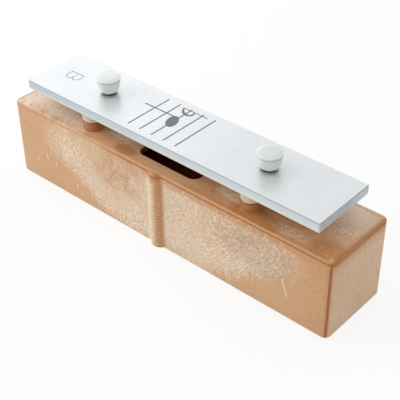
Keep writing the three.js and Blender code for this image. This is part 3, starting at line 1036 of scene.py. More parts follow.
@dataclass(frozen=True)
class SatinAluminium(Finish):
    """Fine-blasted bright aluminium with sawn edges, greyed by painted shade and reflection."""

    name: str = "satin_aluminium"
    light: tuple = linear(234, 236, 238)
    dark: tuple = linear(214, 218, 221)
    # Painted reflection of the box's orange top, low on the bar's sides.
    painted_box_reflection: tuple = linear(232, 220, 204)
    edge_light: tuple = linear(218, 224, 224)
    # Painted shade and reflection: the grey of the sides and ends.
    sawn_edge_painted_shade: tuple = linear(178, 190, 198)
    # Painted shade: the dark line along the top chamfer.
    rim: tuple = linear(142, 148, 152)
    blast: Noise = Noise(0.75, roughness=0.7)
    haze: Noise = Noise(22.0)
    saw: Noise = Noise((30.0, 30.0, 0.55), detail=3.0, roughness=0.6)
    middle_height: float = 68.4

    def make(self, bench: ShaderBench) -> None:
        """Builds the material's nodes.

        Args:
            bench: The bench of an empty material.
        """
        place = bench.place()
        x, _, z = bench.parts(place)
        along, _, up = (abs(part) for part in bench.facing())
        blast, haze, saw = (
            bench.noise(place, marks) for marks in (self.blast, self.haze, self.saw))
        level = z - self.middle_height
        top = bench.blend((blast * 0.8 + haze * 0.2).rise(0.25, 0.75), self.dark, self.light)
        # Sawn grain, with painted shade: darker at the ends, towards the left and towards the top.
        edge_grain_and_painted_shade = (saw * 0.7 + level.rise(0.6, -1.4) * 0.25 - along * 0.6
                    + x.rise(-110.0, 60.0) * 0.35)
        edge = bench.blend(edge_grain_and_painted_shade.held(), self.sawn_edge_painted_shade, self.edge_light)
        # Painted shade along the top chamfer.
        line = up.within(0.12, 0.9, 0.1) * level.rise(1.5, 2.2)
        colour = bench.painted(edge, [
            # Painted reflection of the box low on the sides.
            (up.rise(0.3, 0.96), top), (level.rise(-1.9, -2.6) * 0.6, self.painted_box_reflection),
            # Painted shade on the top chamfer.
            (line * 0.9, self.rim)])
        bench.principled(
            Base_Color=colour, Metallic=0.55, Roughness=0.37 + (blast - 0.5) * 0.2,
            Normal=bench.bump(blast, 0.4, 0.04))


@dataclass(frozen=True)
class MilkyPlastic(Finish):
    """Glossy off-white plastic with a slightly green depth."""

    name: str = "milky_plastic"
    # Painted highlight: the slightly lighter rim of the knob's disc.
    rim: tuple = linear(222, 225, 224)
    dish: tuple = linear(220, 222, 223)
    barrel: tuple = linear(214, 220, 213)
    pale: tuple = linear(228, 230, 222)
    # Painted shade: the dark grey of the knob's underside and of its groove.
    underside: tuple = linear(130, 138, 140)
    cloud: Noise = Noise(3.5)
    fine: Noise = Noise(0.6)
    axis: float = 62.5
    dish_radius: float = 6.5
    foot_top: float = 73.3
    # Heights and depth of the painted shade in the groove under the disc.
    painted_groove_shade: Point = (80.4, 80.9)
    painted_groove_shade_depth: Point = (7.3, 7.0)

    def make(self, bench: ShaderBench) -> None:
        """Builds the material's nodes.

        Args:
            bench: The bench of an empty material.
        """
        place = bench.place()
        x, y, z = bench.parts(place)
        _, _, up = bench.facing()
        cloud, fine = bench.noise(place, self.cloud), bench.noise(place, self.fine)
        from_axis = abs(x) - self.axis
        radius = (from_axis * from_axis + y * y).math("SQRT")
        # Painted highlight round the disc's rim.
        painted_rim_highlight = radius.rise(self.dish_radius - 0.6, self.dish_radius + 0.4)
        top = bench.blend((painted_rim_highlight * 0.5 + cloud * 0.2).held(), self.dish, self.rim)
        barrel = bench.blend((cloud * 0.5 + fine * 0.2).held(), self.barrel, self.pale)
        # Painted shade in the groove under the disc.
        painted_groove_shade = z.within(*self.painted_groove_shade, 0.08) * radius.rise(*self.painted_groove_shade_depth) * up.rise(0.6, 0.3)
        colour = bench.painted(barrel, [
            ((up.rise(0.3, 0.85) + cloud * 0.1).held(), top),
            # Painted shade on the knob's underside and in its groove.
            (z.rise(self.foot_top, self.foot_top - 0.3).most(painted_groove_shade), self.underside)])
        bench.principled(
            Base_Color=colour, Roughness=0.18 + fine * 0.08, Coat_Weight=0.6, Coat_Roughness=0.08,
            Coat_IOR=1.6, Subsurface_Weight=0.55, Subsurface_Radius=(1, 1, 1),
            Subsurface_Scale=0.004, Normal=bench.bump(fine, 0.08, 0.02))


@dataclass(frozen=True)
class Mottled(Finish):
    """A finish whose grain, and a broader cloud where it has one, mix a dark and a light shade.

    The relief is the strength and the height of its bumps, and the drift is the size and the
    reach of the swirls that the cloud is moved about in.
    """

    name: str
    light: tuple
    dark: tuple
    grain: Noise
    roughness: float
    uneven: float
    relief: Point
    metallic: float = 0.0
    cloud: Noise | None = None
    cloud_share: float = 0.0
    drift: Point | None = None

    def make(self, bench: ShaderBench) -> None:
        """Builds the material's nodes.

        Args:
            bench: The bench of an empty material.
        """
        place = bench.place()
        grain = bench.noise(place, self.grain)
        mottle = grain
        if self.cloud:
            cloud_place = bench.drifted(place, *self.drift) if self.drift else place
            cloud = bench.noise(cloud_place, self.cloud)
            mottle = cloud * self.cloud_share + grain * (1 - self.cloud_share)
        bench.principled(
            Base_Color=bench.blend(mottle.rise(0.3, 0.7), self.dark, self.light),
            Metallic=self.metallic, Roughness=self.roughness + grain * self.uneven,
            Normal=bench.bump(grain, *self.relief))


@dataclass(frozen=True)
class PlainPlastic(Mottled):
    """The same plastic as the box, without bloom, for its base plate."""

    name: str = "plain_plastic"
    light: tuple = linear(204, 160, 118)
    dark: tuple = linear(178, 128, 82)
    grain: Noise = Noise(0.8, roughness=0.7)
    roughness: float = 0.45
    uneven: float = 0.2
    relief: Point = (0.25, 0.08)
    cloud: Noise | None = Noise(18.0, detail=3.0, roughness=0.6)
    cloud_share: float = 0.75
    drift: Point | None = (30.0, 14.0)


@dataclass(frozen=True)
class SoftRubber(Mottled):
    """Matt rubber or foam with a fine, uneven skin."""

    grain: Noise = Noise(0.5, detail=3.0, roughness=0.65)
    roughness: float = 0.7
    uneven: float = 0.2
    relief: Point = (0.5, 0.08)
    cloud: Noise | None = Noise(2.5)
    cloud_share: float = 0.4


@dataclass(frozen=True)
class TurnedSteel(Mottled):
    """Bright steel with the fine rings that turning leaves."""

    name: str = "turned_steel"
    light: tuple = linear(214, 216, 219)
    dark: tuple = linear(176, 178, 182)
    grain: Noise = Noise((5.0, 5.0, 0.2), roughness=0.6)
    roughness: float = 0.24
    uneven: float = 0.14
    relief: Point = (0.15, 0.02)
    metallic: float = 1.0


@dataclass(frozen=True)
class PrintingInk(Mottled):
    """Dark grey ink, a little uneven where it took to the blasted metal."""

    name: str = "printing_ink"
    light: tuple = linear(128, 129, 132)
    dark: tuple = linear(102, 103, 106)
    grain: Noise = Noise(0.6, roughness=0.6)
    roughness: float = 0.55
    uneven: float = 0.1
    relief: Point = (0.1, 0.02)


@dataclass(frozen=True)
class StudioFloor(Finish):
    """Plain white studio floor that keeps a soft shadow."""

    name: str = "studio_floor"
    paper: tuple = linear(252, 252, 252)
    shadow_share: float = 0.16

    def make(self, bench: ShaderBench) -> None:
        """Builds the material's nodes.

        Args:
            bench: The bench of an empty material.
        """
        matt = bench.node("ShaderNodeBsdfDiffuse", inputs={"Color": self.paper})
        white = bench.node("ShaderNodeEmission", inputs={"Color": WHITE, "Strength": 1.0})
        bench.close(bench.mixed(bench.seen_white() * (1 - self.shadow_share), matt, white))


CUSHION_RUBBER = SoftRubber("cushion_rubber", linear(222, 210, 186), linear(200, 186, 160))
SLEEVE_RUBBER = SoftRubber(
    "sleeve_rubber", linear(120, 126, 124), linear(96, 101, 100), roughness=0.4)
FOOT_RUBBER = SoftRubber("foot_rubber", linear(48, 48, 49), linear(30, 30, 31))


# Pieces


class Packed:
    """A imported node's box, in millimetres."""

    def __init__(self, node: str) -> None:
        """Reads the box.

        Args:
            node: The node's name.
        """
        low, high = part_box(node)
        self.node = node
        self.low, self.high = Vector(low) / MM, Vector(high) / MM
        self.middle = (self.low + self.high) / 2
        self.length = self.high.x - self.low.x
        self.height = self.high.z - self.low.z
        self.radius = self.length / 2

    @classmethod
    def numbered(cls, stem: str, count: int) -> "list[Packed]":
        """Reads the boxes of nodes that are numbered from 1."""
        return [cls(f"{stem}_{number}") for number in range(1, count + 1)]

    def seat(self, solid: Solid) -> Solid:
        """Moves an upright solid from the origin to the node's underside."""
        return solid.moved(self.middle.x, self.middle.y, self.low.z)


class Maker:
    """What every sub-assembly needs to turn its solids into pieces of the scene."""

    def build(self) -> None:
        """Builds and dresses the pieces."""
        raise NotImplementedError

    def piece(self, name: str, solid: Solid, finish: Finish, rider: Rider, slot: Slot,
              stands_for: Sequence[str] = ()) -> bpy.types.Object:
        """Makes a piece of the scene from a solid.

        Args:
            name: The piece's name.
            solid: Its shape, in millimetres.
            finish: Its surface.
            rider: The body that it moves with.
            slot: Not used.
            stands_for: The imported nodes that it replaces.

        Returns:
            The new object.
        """
        mesh = solid.mesh
        mesh.transform(Matrix.Scale(MM, 4))
        mesh.name = name
        mesh.materials.clear()
        mesh.materials.append(finish.material())
        mesh.shade_smooth()
        mesh.set_sharp_from_angle(angle=SHARP_ANGLE)
        obj = bpy.data.objects.new(name, mesh)
        bpy.context.scene.collection.objects.link(obj)
        weighted = obj.modifiers.new("even_shading", "WEIGHTED_NORMAL")
        weighted.keep_sharp = True
        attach(obj, rider.value)
        if stands_for:
            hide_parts(*stands_for)
        LOG.info("%s rides on %s, %d faces", name, rider.value, len(mesh.polygons))
        return obj


@dataclass(frozen=True)
class PanHeadScrew:
    """A self-tapping screw with a domed head and a cross recess."""

    head_radius: float = 2.8
    head_height: float = 1.6
    radius: float = 1.5
    root: float = 1.15
    pitch: float = 0.9
    thread_start: float = 2.2
    plain_length: float = 4.0
    point: float = 0.9
    point_end: float = 0.2
    recess: Triple = (2.4, 0.8, 1.8)

    def solid(self, length: float) -> Solid:
        """Builds the screw, which points up from the origin.

        Args:
            length: Its whole length.

        Returns:
            The screw.
        """
        head = [(self.head_radius * math.sin(a), self.head_height * (1 - math.cos(a)))
                for a in (0.35, 0.7, 1.05, 1.35)]
        thread = []
        for turn in range(int((length - self.plain_length) / self.pitch)):
            base = self.thread_start + turn * self.pitch
            thread += [(self.root, base), (self.radius, base + self.pitch / 2)]
        body = Solid.turned([
            *head, (self.head_radius, self.head_height), (self.radius, self.head_height), *thread,
            (self.point, length - self.point), (self.point_end, length)], 24)
        long, wide, deep = self.recess
        cross = Solid.block((long, wide, deep), ORIGIN).joined([
            Solid.block((wide, long, deep), ORIGIN)])
        return body.without([cross])


@dataclass
class ResonatorBox(Maker):
    """The moulded box with its mouth, bosses and sockets, and what closes it from below."""

    corner: float = 4.0
    fillet: float = 1.6
    rim_edge: float = 0.3
    rib_radius: float = 5.8
    rib_proud: float = 3.0
    rib_blend: float = 0.6
    side_wall: float = 3.5
    top_wall: float = 3.8
    mouth_length: float = 46.6
    mouth_width: float = 34.4
    mouth_corner: float = 5.4
    mouth_lip: float = 0.6
    boss_height: float = 5.6
    boss_edge: float = 0.9
    boss_flare: float = 0.6
    pin_boss_radius: float = 5.5
    pin_boss_height: float = 4.0
    bore_radius: float = 2.3
    post_radius: float = 5.5
    post_depth: float = 23.5
    socket_floor: float = 2.5
    web_reach: float = 9.0
    web_drop: float = 14.0
    web_thickness: float = 2.0
    rebate_wall: float = 1.8
    rebate_depth: float = 3.4
    column_radius: float = 4.0
    column_height: float = 20.0
    pilot_depth: float = 12.8
    plate_gap: float = 0.3
    plate_edge: float = 0.4
    plate_rib: float = 1.8
    long_rib_end: float = 14.0
    long_rib_y: float = 10.0
    cross_rib_x: float = 40.0
    screw_hole: float = 1.8
    head_hole: float = 3.1
    foot_pocket: float = 6.3
    foot_lower_edge: float = 0.5
    foot_upper_edge: float = 0.2
    overrun: float = 1.0

    def __post_init__(self) -> None:
        """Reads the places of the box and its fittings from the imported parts."""
        shell = Packed("resonator_shell")
        self.pads = Packed.numbered("bar_cushion", 4)
        self.feet = Packed.numbered("rubber_foot", 4)
        self.screws = Packed.numbered("base_screw", 6)
        self.base = Packed("base_plate")
        self.length = shell.length
        self.width = shell.high.y - shell.low.y - 2 * self.rib_proud
        self.rim = shell.low.z
        self.top = self.pads[0].low.z - self.boss_height
        self.ceiling = self.top - self.top_wall
        self.quiet_x = abs(Packed("right_pin").middle.x)
        self.rib_axis = self.width / 2 + self.rib_proud - self.rib_radius
        self.plate_top = self.rim + self.rebate_depth

    def outline(self, inset: float) -> list[Point]:
        """Draws the box's outline with its ribs, drawn in by the same inset all round.

        Args:
            inset: How far inside the outer face.

        Returns:
            Its points, anticlockwise.
        """
        radius = self.corner - inset
        x = self.length / 2 - self.corner
        y = self.width / 2 - self.corner
        blend_y = self.width / 2 + self.rib_blend
        rise = math.asin((blend_y - self.rib_axis) / (self.rib_radius + self.rib_blend))
        blend_x = (self.rib_radius + self.rib_blend) * math.cos(rise)
        blend = self.rib_blend + inset
        half = [
            *arc((x, y), radius, 0, QUARTER, 12),
            *arc((blend_x, blend_y), blend, -QUARTER, rise - 2 * QUARTER, 4),
            *arc((0, self.rib_axis), self.rib_radius - inset, rise, 2 * QUARTER - rise, 24),
            *arc((-blend_x, blend_y), blend, -rise, -QUARTER, 4),
            *arc((-x, y), radius, QUARTER, 2 * QUARTER, 12),
        ]
        return [*half, *((-px, -py) for px, py in half)]

    def shell(self) -> Solid:
        """Builds the moulded box, open below.

        Returns:
            The box.
        """
        fillet = arc((0, 0), self.fillet, 0, QUARTER, 8)
        body = Solid.loft([
            (self.rim, self.outline(self.rim_edge)), (self.rim + self.rim_edge, self.outline(0)),
            *((self.top - self.fillet + up, self.outline(self.fillet - across))
              for across, up in fillet)])
        chamber = Solid.prism(self.outline(self.side_wall), self.rim - self.overrun, self.ceiling)
        return body.without([chamber]).joined(self.additions()).without(self.cuts())

    def additions(self) -> list[Solid]:
        """Builds what stands on and hangs from the box's walls.

        Returns:
            The support bosses, pin bosses, pin posts with their webs, and screw columns.
        """
        parts = [self.boss(pad.radius, self.boss_height).moved(*pad.middle.xy) for pad in self.pads]
        for x in (-self.quiet_x, self.quiet_x):
            post = Solid.cylinder(
                self.post_radius, self.top - self.post_depth, self.ceiling + self.overrun)
            boss = self.boss(self.pin_boss_radius, self.pin_boss_height)
            parts += [boss.moved(x), post.moved(x), self.web().moved(x)]
        for screw in self.screws:
            column = Solid.cylinder(
                self.column_radius, self.plate_top, self.plate_top + self.column_height, 32)
            parts.append(column.moved(*screw.middle.xy))
        return parts

    def boss(self, radius: float, height: float) -> Solid:
        """Builds a round boss that stands on the box's top with a small flare at its foot.

        Args:
            radius: Its radius.
            height: Its height.

        Returns:
            The boss, on the Z axis.
        """
        foot = radius + self.boss_flare
        flare = arc((foot, self.top + self.boss_flare), self.boss_flare, -QUARTER, -2 * QUARTER, 3)
        return Solid.turned([
            (foot, self.top - self.overrun), *flare,
            *raised_edge(radius, self.top + height, self.boss_edge)])

    def web(self) -> Solid:
        """Builds the webs that brace a pin's post, along the box.

        Returns:
            Both webs as one solid, across the Z axis.
        """
        half, reach = self.post_radius / 2, self.post_radius + self.web_reach
        low, high = self.ceiling - self.web_drop, self.ceiling + self.overrun
        outline = [(-reach, self.ceiling), (-half, low), (half, low), (reach, self.ceiling),
                   (reach, high), (-reach, high)]
        plate = Solid.prism(outline, -self.web_thickness / 2, self.web_thickness / 2)
        return plate.turned_over(Matrix.Rotation(QUARTER, 4, "X"))

    def mouth_outline(self, grow: float) -> list[Point]:
        """Draws the mouth's outline, grown all round by a little."""
        return rounded_rectangle(self.mouth_length + 2 * grow, self.mouth_width + 2 * grow,
                                 self.mouth_corner + grow, 12)

    def cuts(self) -> list[Solid]:
        """Builds what is cut out of the box.

        Returns:
            The plate's rebate, the mouth, the pins' bores and the screws' pilot holes.
        """
        lip = arc((self.mouth_lip, 0), self.mouth_lip, math.pi, QUARTER, 5)
        mouth = Solid.loft([
            (self.ceiling - self.overrun, self.mouth_outline(0)),
            *((self.top - self.mouth_lip + up, self.mouth_outline(grow)) for grow, up in lip),
            (self.top + self.overrun, self.mouth_outline(self.mouth_lip))])
        rebate = Solid.prism(
            self.outline(self.rebate_wall), self.rim - self.overrun, self.plate_top)
        bottom = self.top - self.post_depth + self.socket_floor
        opening = self.top + self.pin_boss_height + self.overrun
        bores = [Solid.cylinder(self.bore_radius, bottom, opening).moved(x)
                 for x in (-self.quiet_x, self.quiet_x)]
        pilots = [Solid.cylinder(self.screw_hole, self.rim, self.plate_top + self.pilot_depth, 24)
                  .moved(*screw.middle.xy) for screw in self.screws]
        return [rebate, mouth, *bores, *pilots]

    def plate(self) -> Solid:
        """Builds the base plate with its foot pockets, screw holes and inner ribs.

        Returns:
            The plate.
        """
        inset = self.rebate_wall + self.plate_gap
        bottom, top = self.base.low.z, self.base.high.z
        sheet = Solid.loft([
            (bottom, self.outline(inset + self.plate_edge)),
            (bottom + self.plate_edge, self.outline(inset)), (self.plate_top, self.outline(inset))])
        rib_length = self.length - 2 * (inset + self.long_rib_end)
        rib_height = top - self.plate_top + self.overrun
        rib_z = top - rib_height / 2
        long_rib = (rib_length, self.plate_rib, rib_height)
        cross_rib = (self.plate_rib, 2 * self.long_rib_y, rib_height)
        ribs = [Solid.block(long_rib, (0, y, rib_z)) for y in (-self.long_rib_y, self.long_rib_y)]
        ribs += [Solid.block(cross_rib, (x, 0, rib_z))
                 for x in (-self.cross_rib_x, self.cross_rib_x)]
        cuts = [Solid.cylinder(self.foot_pocket, bottom - self.overrun, foot.high.z)
                .moved(*foot.middle.xy) for foot in self.feet]
        for screw in self.screws:
            seat = screw.low.z + PanHeadScrew.head_height
            hole = Solid.cylinder(self.screw_hole, bottom, self.plate_top + self.overrun, 24)
            head = Solid.cylinder(self.head_hole, bottom - self.overrun, seat, 32)
            cuts += [hole.moved(*screw.middle.xy), head.moved(*screw.middle.xy)]
        return sheet.joined(ribs).without(cuts)

    def foot(self, place: Packed) -> Solid:
        """Builds a rubber foot.

        Args:
            place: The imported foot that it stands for.

        Returns:
            The foot in its place.
        """
        lower = lowered_edge(place.radius, 0, self.foot_lower_edge)
        upper = raised_edge(place.radius, place.high.z, self.foot_upper_edge, 3)
        return Solid.turned([*lower, *upper]).moved(*place.middle.xy)

    def build(self) -> None:
        """Builds and dresses every piece of the box."""
        rider = Rider.RESONATOR
        self.piece("casing", self.shell(), WoodColouredPlastic(), rider, Slot.CASING,
                   ["resonator_shell"])
        self.piece("bottom_plate", self.plate(), PlainPlastic(), rider, Slot.PLATE, ["base_plate"])
        for i, place in enumerate(self.screws, 1):
            screw = place.seat(PanHeadScrew().solid(place.height))
            self.piece(f"plate_screw_{i}", screw, TurnedSteel(), rider, Slot.STEEL, [place.node])
        for i, place in enumerate(self.feet, 1):
            self.piece(f"foot_{i}", self.foot(place), FOOT_RUBBER, rider, Slot.RUBBER, [place.node])


@dataclass
class Cushions(Maker):
    """The soft round pads that the bar lies on."""

    bulge: float = 0.25
    upper_edge: float = 0.9
    lower_edge: float = 1.5
    flat_margin: float = 0.8
    steps: int = 8

    def pad(self, place: Packed) -> Solid:
        """Builds one pad with rounded rims and slightly bulging sides.

        Args:
            place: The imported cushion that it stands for.

        Returns:
            The pad in its place.
        """
        rim = place.radius - self.bulge
        lower = lowered_edge(rim, 0, self.lower_edge, 9)
        upper = raised_edge(rim, place.height, self.upper_edge)
        straight = place.height - self.upper_edge - self.lower_edge
        shares = [i / self.steps for i in range(1, self.steps)]
        side = [(rim + self.bulge * math.sin(math.pi * share), self.lower_edge + straight * share)
                for share in shares]
        return place.seat(Solid.turned([
            (rim - self.lower_edge - self.flat_margin, 0.0), *lower, *side, *upper,
            (rim - self.upper_edge - self.flat_margin, place.height)], 72))

    def build(self) -> None:
        """Builds and dresses the pads."""
        for i, place in enumerate(Packed.numbered("bar_cushion", 4), 1):
            pad = self.piece(f"soft_pad_{i}", self.pad(place), CUSHION_RUBBER, Rider.RESONATOR,
                             Slot.CUSHION, [place.node])


@dataclass
class SoundBar(Maker):
    """The tuned bar with its broken edges and the holes that its pins pass through."""

    corner: float = 0.9
    least_corner: float = 0.2
    chamfer: float = 0.5
    hole_radius: float = 4.2
    hole_edge: float = 0.4
    overrun: float = 1.0

    def __post_init__(self) -> None:
        """Reads the bar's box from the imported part."""
        self.place = Packed("sound_bar")

    def outline(self, inset: float) -> list[Point]:
        """Draws the bar's outline.

        Args:
            inset: How far inside its edges.

        Returns:
            Its points, anticlockwise.
        """
        size = self.place.high - self.place.low
        corner = max(self.corner - inset, self.least_corner)
        return rounded_rectangle(size.x - 2 * inset, size.y - 2 * inset, corner, 6)

    def slab(self) -> Solid:
        """Builds the bar.

        Returns:
            The bar in its place.
        """
        top = self.place.height
        edge = arc((0, 0), self.chamfer, 0, QUARTER, 4)
        lower = [(self.chamfer - up, self.outline(self.chamfer - across))
                 for across, up in reversed(edge)]
        upper = [(top - self.chamfer + up, self.outline(self.chamfer - across))
                 for across, up in edge]
        rim = self.hole_radius + self.hole_edge
        hole = [(rim, -self.overrun), (rim, 0), (self.hole_radius, self.hole_edge),
                (self.hole_radius, top - self.hole_edge), (rim, top), (rim, top + self.overrun)]
        tools = [Solid.turned(hole).moved(Packed(pin).middle.x)
                 for pin in ("left_pin", "right_pin")]
        return Solid.loft([*lower, *upper]).without(tools).moved(z=self.place.low.z)

    def build(self) -> None:
        """Builds and dresses the bar."""
        self.piece("metal_bar", self.slab(), SatinAluminium(), Rider.BAR, Slot.ALUMINIUM,
                   ["sound_bar"])


@dataclass
class NotePrint(Maker):
    """The note that is printed on the bar, read with the bar's right-hand end up."""

    thickness: float = 0.04
    sink: float = 0.01
    line_width: float = 0.95
    staff_x: tuple[float, ...] = (-28.5, -19.1, -9.75, -0.5, 8.6)
    staff_reach: float = 17.9
    head_centre: Point = (-10.14, 0.47)
    head_radii: Point = (6.15, 3.65)
    head_tilt: float = 110.5
    head_steps: int = 48
    stem: tuple[Point, Point] = ((-36.5, 5.2), (-12.0, 5.2))
    stem_width: float = 1.0
    flat_stem: tuple[Point, Point] = ((-15.2, 16.1), (3.8, 16.1))
    flat_bowl: tuple[Point, ...] = (
        (-15.0, 16.2), (-14.2, 14.7), (-12.9, 13.0), (-11.3, 11.8), (-9.4, 11.2), (-7.4, 11.4),
        (-6.0, 12.6), (-5.8, 14.3), (-6.6, 16.0))
    flat_stem_width: float = 0.7125
    bowl_end: float = 0.75
    bowl_swell: float = 1.125
    letter_foot: float = -98.9
    letter_head: float = -88.4
    letter_spine: float = 3.3
    letter_line: float = 0.5

    def plate(self, outlines: Sequence[Sequence[Point]]) -> Solid:
        """Lays flat ink shapes on the bar's top face.

        Args:
            outlines: The shapes' outlines, which may overlap.

        Returns:
            The ink as one solid.
        """
        top = Packed("sound_bar").high.z
        shapes = [Solid.prism(outline, top - self.sink, top + self.thickness)
                  for outline in outlines]
        return shapes[0].joined(shapes[1:])

    def line(self, start: Point, end: Point, width: float) -> list[Point]:
        """Draws a straight stroke with square ends."""
        return self.ribbon([Vector(start), Vector(end)], width)

    @staticmethod
    def curve(points: Sequence[Point], steps: int = 6) -> list[Vector]:
        """Runs a smooth curve through points.

        Args:
            points: What it passes through.
            steps: Chords between two points.

        Returns:
            Its points.
        """
        path = [Vector(point) for point in points]
        guide = [path[0] * 2 - path[1], *path, path[-1] * 2 - path[-2]]
        out = []
        for i in range(1, len(guide) - 2):
            before, here, there, after = guide[i - 1:i + 3]
            for step in range(steps):
                t = step / steps
                out.append(0.5 * (2 * here + (there - before) * t
                                  + (2 * before - 5 * here + 4 * there - after) * t ** 2
                                  + (3 * here - before - 3 * there + after) * t ** 3))
        out.append(guide[-2])
        return out

    @staticmethod
    def ribbon(path: Sequence[Vector], width: float, swell: float = 0.0) -> list[Point]:
        """Gives a path a width.

        Args:
            path: The path's points.
            width: Its width at the ends.
            swell: How much wider it is at its middle.

        Returns:
            The ribbon's outline, anticlockwise.
        """
        left, right = [], []
        last = len(path) - 1
        for i, point in enumerate(path):
            run = (path[min(i + 1, last)] - path[max(i - 1, 0)]).normalized()
            half = (width + swell * math.sin(math.pi * i / last)) / 2
            side = Vector((-run.y, run.x)) * half
            left.append((point.x + side.x, point.y + side.y))
            right.append((point.x - side.x, point.y - side.y))
        return [*right, *reversed(left)]

    def staff(self) -> list[list[Point]]:
        """Draws the five staff lines."""
        reach = self.staff_reach
        return [self.line((x, -reach), (x, reach), self.line_width) for x in self.staff_x]

    def note(self) -> list[list[Point]]:
        """Draws the note's slanted head and its stem.

        Returns:
            Their outlines.
        """
        tilt = Matrix.Rotation(math.radians(self.head_tilt), 2)
        head = [tilt @ Vector((self.head_radii[0] * math.cos(a), self.head_radii[1] * math.sin(a)))
                for a in (2 * math.pi * i / self.head_steps for i in range(self.head_steps))]
        outline = [(self.head_centre[0] + p.x, self.head_centre[1] + p.y) for p in head]
        return [outline, self.line(*self.stem, self.stem_width)]

    def flat_sign(self) -> list[list[Point]]:
        """Draws the flat sign before the note."""
        bowl = self.ribbon(self.curve(self.flat_bowl), self.bowl_end, self.bowl_swell)
        return [self.line(*self.flat_stem, self.flat_stem_width), bowl]

    def letter(self) -> list[list[Point]]:
        """Draws the note's letter in outline.

        Returns:
            The outlines of its strokes.
        """
        foot, head, spine = self.letter_foot, self.letter_head, self.letter_spine
        waist = (foot + head) / 2 + 0.3
        low_bowl = [(foot, spine), (foot, -0.8), (foot + 0.7, -3.0), (foot + 2.9, -3.9),
                    (waist - 0.6, -3.0), (waist, -1.2)]
        high_bowl = [(waist, -1.2), (waist + 0.7, -3.1), (head - 2.6, -3.9), (head - 0.7, -3.0),
                     (head, -1.0), (head, spine)]
        return [self.ribbon(self.curve(low_bowl), self.letter_line),
                self.ribbon(self.curve(high_bowl), self.letter_line),
                self.line((foot - 0.2, spine), (head + 0.2, spine), self.letter_line),
                self.line((waist, -1.2), (waist, spine), self.letter_line * 0.7)]

    def build(self) -> None:
        """Builds and dresses the printed marks."""
        music = [*self.staff(), *self.note(), *self.flat_sign()]
        for name, outlines in (("note_print", music), ("letter_print", self.letter())):
            self.piece(name, self.plate(outlines), PrintingInk(), Rider.BAR, Slot.ALUMINIUM)


@dataclass
class Retainer(Maker):
    """A knobbed pin with its soft sleeve, which comes up out of the box as one."""

    side: str
    rider: Rider
    foot_radius: float = 5.4
    foot_edge: float = 0.5
    bowl_radius: float = 7.4
    bowl_height: float = 7.8
    bowl_steps: int = 18
    belly: float = 0.7
    groove_depth: float = 0.7
    groove_height: float = 0.5
    crown: float = 0.5
    crown_power: int = 5
    bore: float = 2.3
    bore_depth: float = 6.5
    sleeve_edge: float = 0.3
    overrun: float = 1.0

    def knob(self) -> Solid:
        """Builds the bowl-shaped knob under its round-edged, crowned disc.

        Returns:
            The knob in its place.
        """
        place = Packed(f"{self.side}_knob")
        rim, height = place.radius, place.height
        groove = self.bowl_height + self.groove_height
        edge = (height - self.crown - groove) / 2
        widening, climb = self.bowl_radius - self.foot_radius, self.bowl_height - self.foot_edge
        bowl = []
        for i in range(1, self.bowl_steps + 1):
            share = i / self.bowl_steps
            swell = (1 - self.belly) * share + self.belly * math.sin(QUARTER * share)
            rise = (1 - self.belly) * share + self.belly * (1 - math.cos(QUARTER * share))
            bowl.append((self.foot_radius + widening * swell, self.foot_edge + climb * rise))
        disc = arc((rim - edge, groove + edge), edge, -QUARTER, QUARTER, 16)
        crown = [(share * (rim - edge), height - self.crown * share ** self.crown_power)
                 for share in (0.96, 0.9, 0.84, 0.78, 0.7, 0.6, 0.45, 0.25)]
        inner = self.bowl_radius - self.groove_depth
        body = Solid.turned([
            *lowered_edge(self.foot_radius, 0, self.foot_edge), *bowl,
            (inner + 0.15, self.bowl_height + 0.1), (inner, self.bowl_height + 0.2),
            (inner, groove - 0.2), (inner + 0.15, groove), *disc, *crown], 96)
        socket = Solid.cylinder(self.bore, -self.overrun, self.bore_depth)
        return place.seat(body.without([socket]))

    def sleeve(self) -> Solid:
        """Builds the soft tube round the pin.

        Returns:
            The tube in its place.
        """
        place = Packed(f"{self.side}_sleeve")
        body = Solid.turned([
            *lowered_edge(place.radius, 0, self.sleeve_edge, 3),
            *raised_edge(place.radius, place.height, self.sleeve_edge, 3)], 48)
        bore = Solid.cylinder(self.bore, -self.overrun, place.height + self.overrun)
        return place.seat(body.without([bore]))

    def pin(self) -> Solid:
        """Builds the steel pin with its tapered, rounded tip.

        Returns:
            The pin in its place.
        """
        place = Packed(f"{self.side}_pin")
        radius, length = place.radius, place.height
        return place.seat(Solid.turned([
            (radius * 0.4, 0), (radius * 0.75, 0.3), (radius, 1.2), (radius, length - 0.3),
            (radius - 0.3, length)], 48))

    def build(self) -> None:
        """Builds and dresses the pin, its sleeve and its knob."""
        for name, solid, finish, slot, node in (
                ("shaft", self.pin(), TurnedSteel(), Slot.STEEL, "pin"),
                ("soft_tube", self.sleeve(), SLEEVE_RUBBER, Slot.SLEEVE, "sleeve"),
                ("button", self.knob(), MilkyPlastic(), Slot.KNOB, "knob")):
            self.piece(f"{self.side}_{name}", solid, finish, self.rider, slot,
                       [f"{self.side}_{node}"])


# Studio


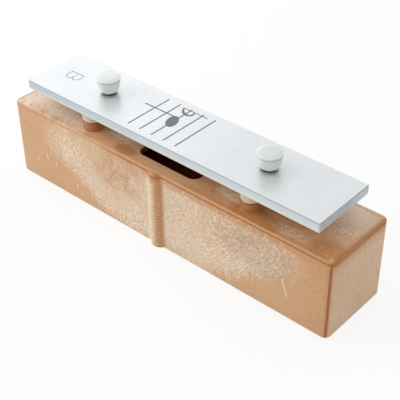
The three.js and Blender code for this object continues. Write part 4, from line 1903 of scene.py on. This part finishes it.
@dataclass
class Studio:
    """The floor, the lamps and the camera."""

    camera_place: Triple = (320.6, -344.2, 371.5)
    azimuth: float = 41.936
    elevation: float = 36.860
    roll: float = -0.744
    focal_length: float = 86.3
    sensor_width: float = 36.0
    nearest: float = 0.01
    world_fill: float = 0.68
    target: Triple = (0.0, 0.0, 40.0)
    floor_half: float = 2500.0
    floor_level: float = -0.05

    def lamp(self, name: str, place: Triple, size: float, power: float,
             mirrored: bool = False) -> None:
        """Hangs a square soft lamp that points at the part's middle.

        Args:
            name: The lamp's name.
            place: Where it hangs, in millimetres.
            size: Its side, in millimetres.
            power: Its power in watts.
            mirrored: Whether glossy surfaces show it.
        """
        light = bpy.data.lights.new(name, "AREA")
        light.shape = "SQUARE"
        light.size = size * MM
        light.energy = power
        obj = bpy.data.objects.new(name, light)
        bpy.context.scene.collection.objects.link(obj)
        obj.location = Vector(place) * MM
        aim = Vector(self.target) - Vector(place)
        obj.rotation_euler = aim.to_track_quat("-Z", "Y").to_euler()
        obj.visible_glossy = mirrored

    def floor(self) -> None:
        """Lays the floor under the part."""
        half, level = self.floor_half * MM, self.floor_level * MM
        corners = [(-half, -half, level), (half, -half, level), (half, half, level),
                   (-half, half, level)]
        mesh = bpy.data.meshes.new("floor")
        mesh.from_pydata(corners, [], [(0, 1, 2, 3)])
        mesh.materials.append(StudioFloor().material())
        obj = bpy.data.objects.new("floor", mesh)
        bpy.context.scene.collection.objects.link(obj)

    def world(self) -> None:
        """Gives the studio an even pale surround that shows as white."""
        world = bpy.data.worlds.new("studio")
        bench = ShaderBench(world)
        fill, white = (
            bench.node("ShaderNodeBackground", inputs={"Color": WHITE, "Strength": strength})
            for strength in (self.world_fill, 1.0))
        bench.close(bench.mixed(bench.seen_white(), fill, white), "ShaderNodeOutputWorld")
        bpy.context.scene.world = world

    def camera(self) -> None:
        """Sets the camera at the photograph's place."""
        azimuth, elevation, roll = map(math.radians, (self.azimuth, self.elevation, self.roll))
        back = Vector((math.sin(azimuth) * math.cos(elevation),
                       -math.cos(azimuth) * math.cos(elevation), math.sin(elevation)))
        level = (-back).cross(Vector((0, 0, 1))).normalized()
        upright = level.cross(-back)
        right = math.cos(roll) * level + math.sin(roll) * upright
        up = math.cos(roll) * upright - math.sin(roll) * level
        data = bpy.data.cameras.new("camera")
        data.lens = self.focal_length
        data.sensor_width = self.sensor_width
        data.clip_start = self.nearest
        obj = bpy.data.objects.new("camera", data)
        bpy.context.scene.collection.objects.link(obj)
        turn = Matrix((right, up, back)).transposed().to_4x4()
        obj.matrix_world = Matrix.Translation(Vector(self.camera_place) * MM) @ turn
        bpy.context.scene.camera = obj

    def build(self) -> None:
        """Sets up the whole studio."""
        self.camera()
        self.floor()
        self.world()
        self.lamp("key", (-350, 350, 850), size=1000, power=1.2)
        self.lamp("fill", (-760, -440, 600), size=800, power=4.5, mirrored=True)
        self.lamp("rim", (-640, 480, 430), size=360, power=0.24, mirrored=True)
        bpy.context.scene.view_settings.view_transform = "Standard"


def main() -> None:
    """Builds the studio and every piece of the part."""
    logging.basicConfig(level=logging.INFO, format="%(name)s: %(message)s")
    Studio().build()
    assemblies: list[Maker] = [
        ResonatorBox(), Cushions(), SoundBar(), NotePrint(),
        Retainer("left", Rider.LEFT), Retainer("right", Rider.RIGHT)]
    for assembly in assemblies:
        assembly.build()


if __name__ == "__main__":
    main()
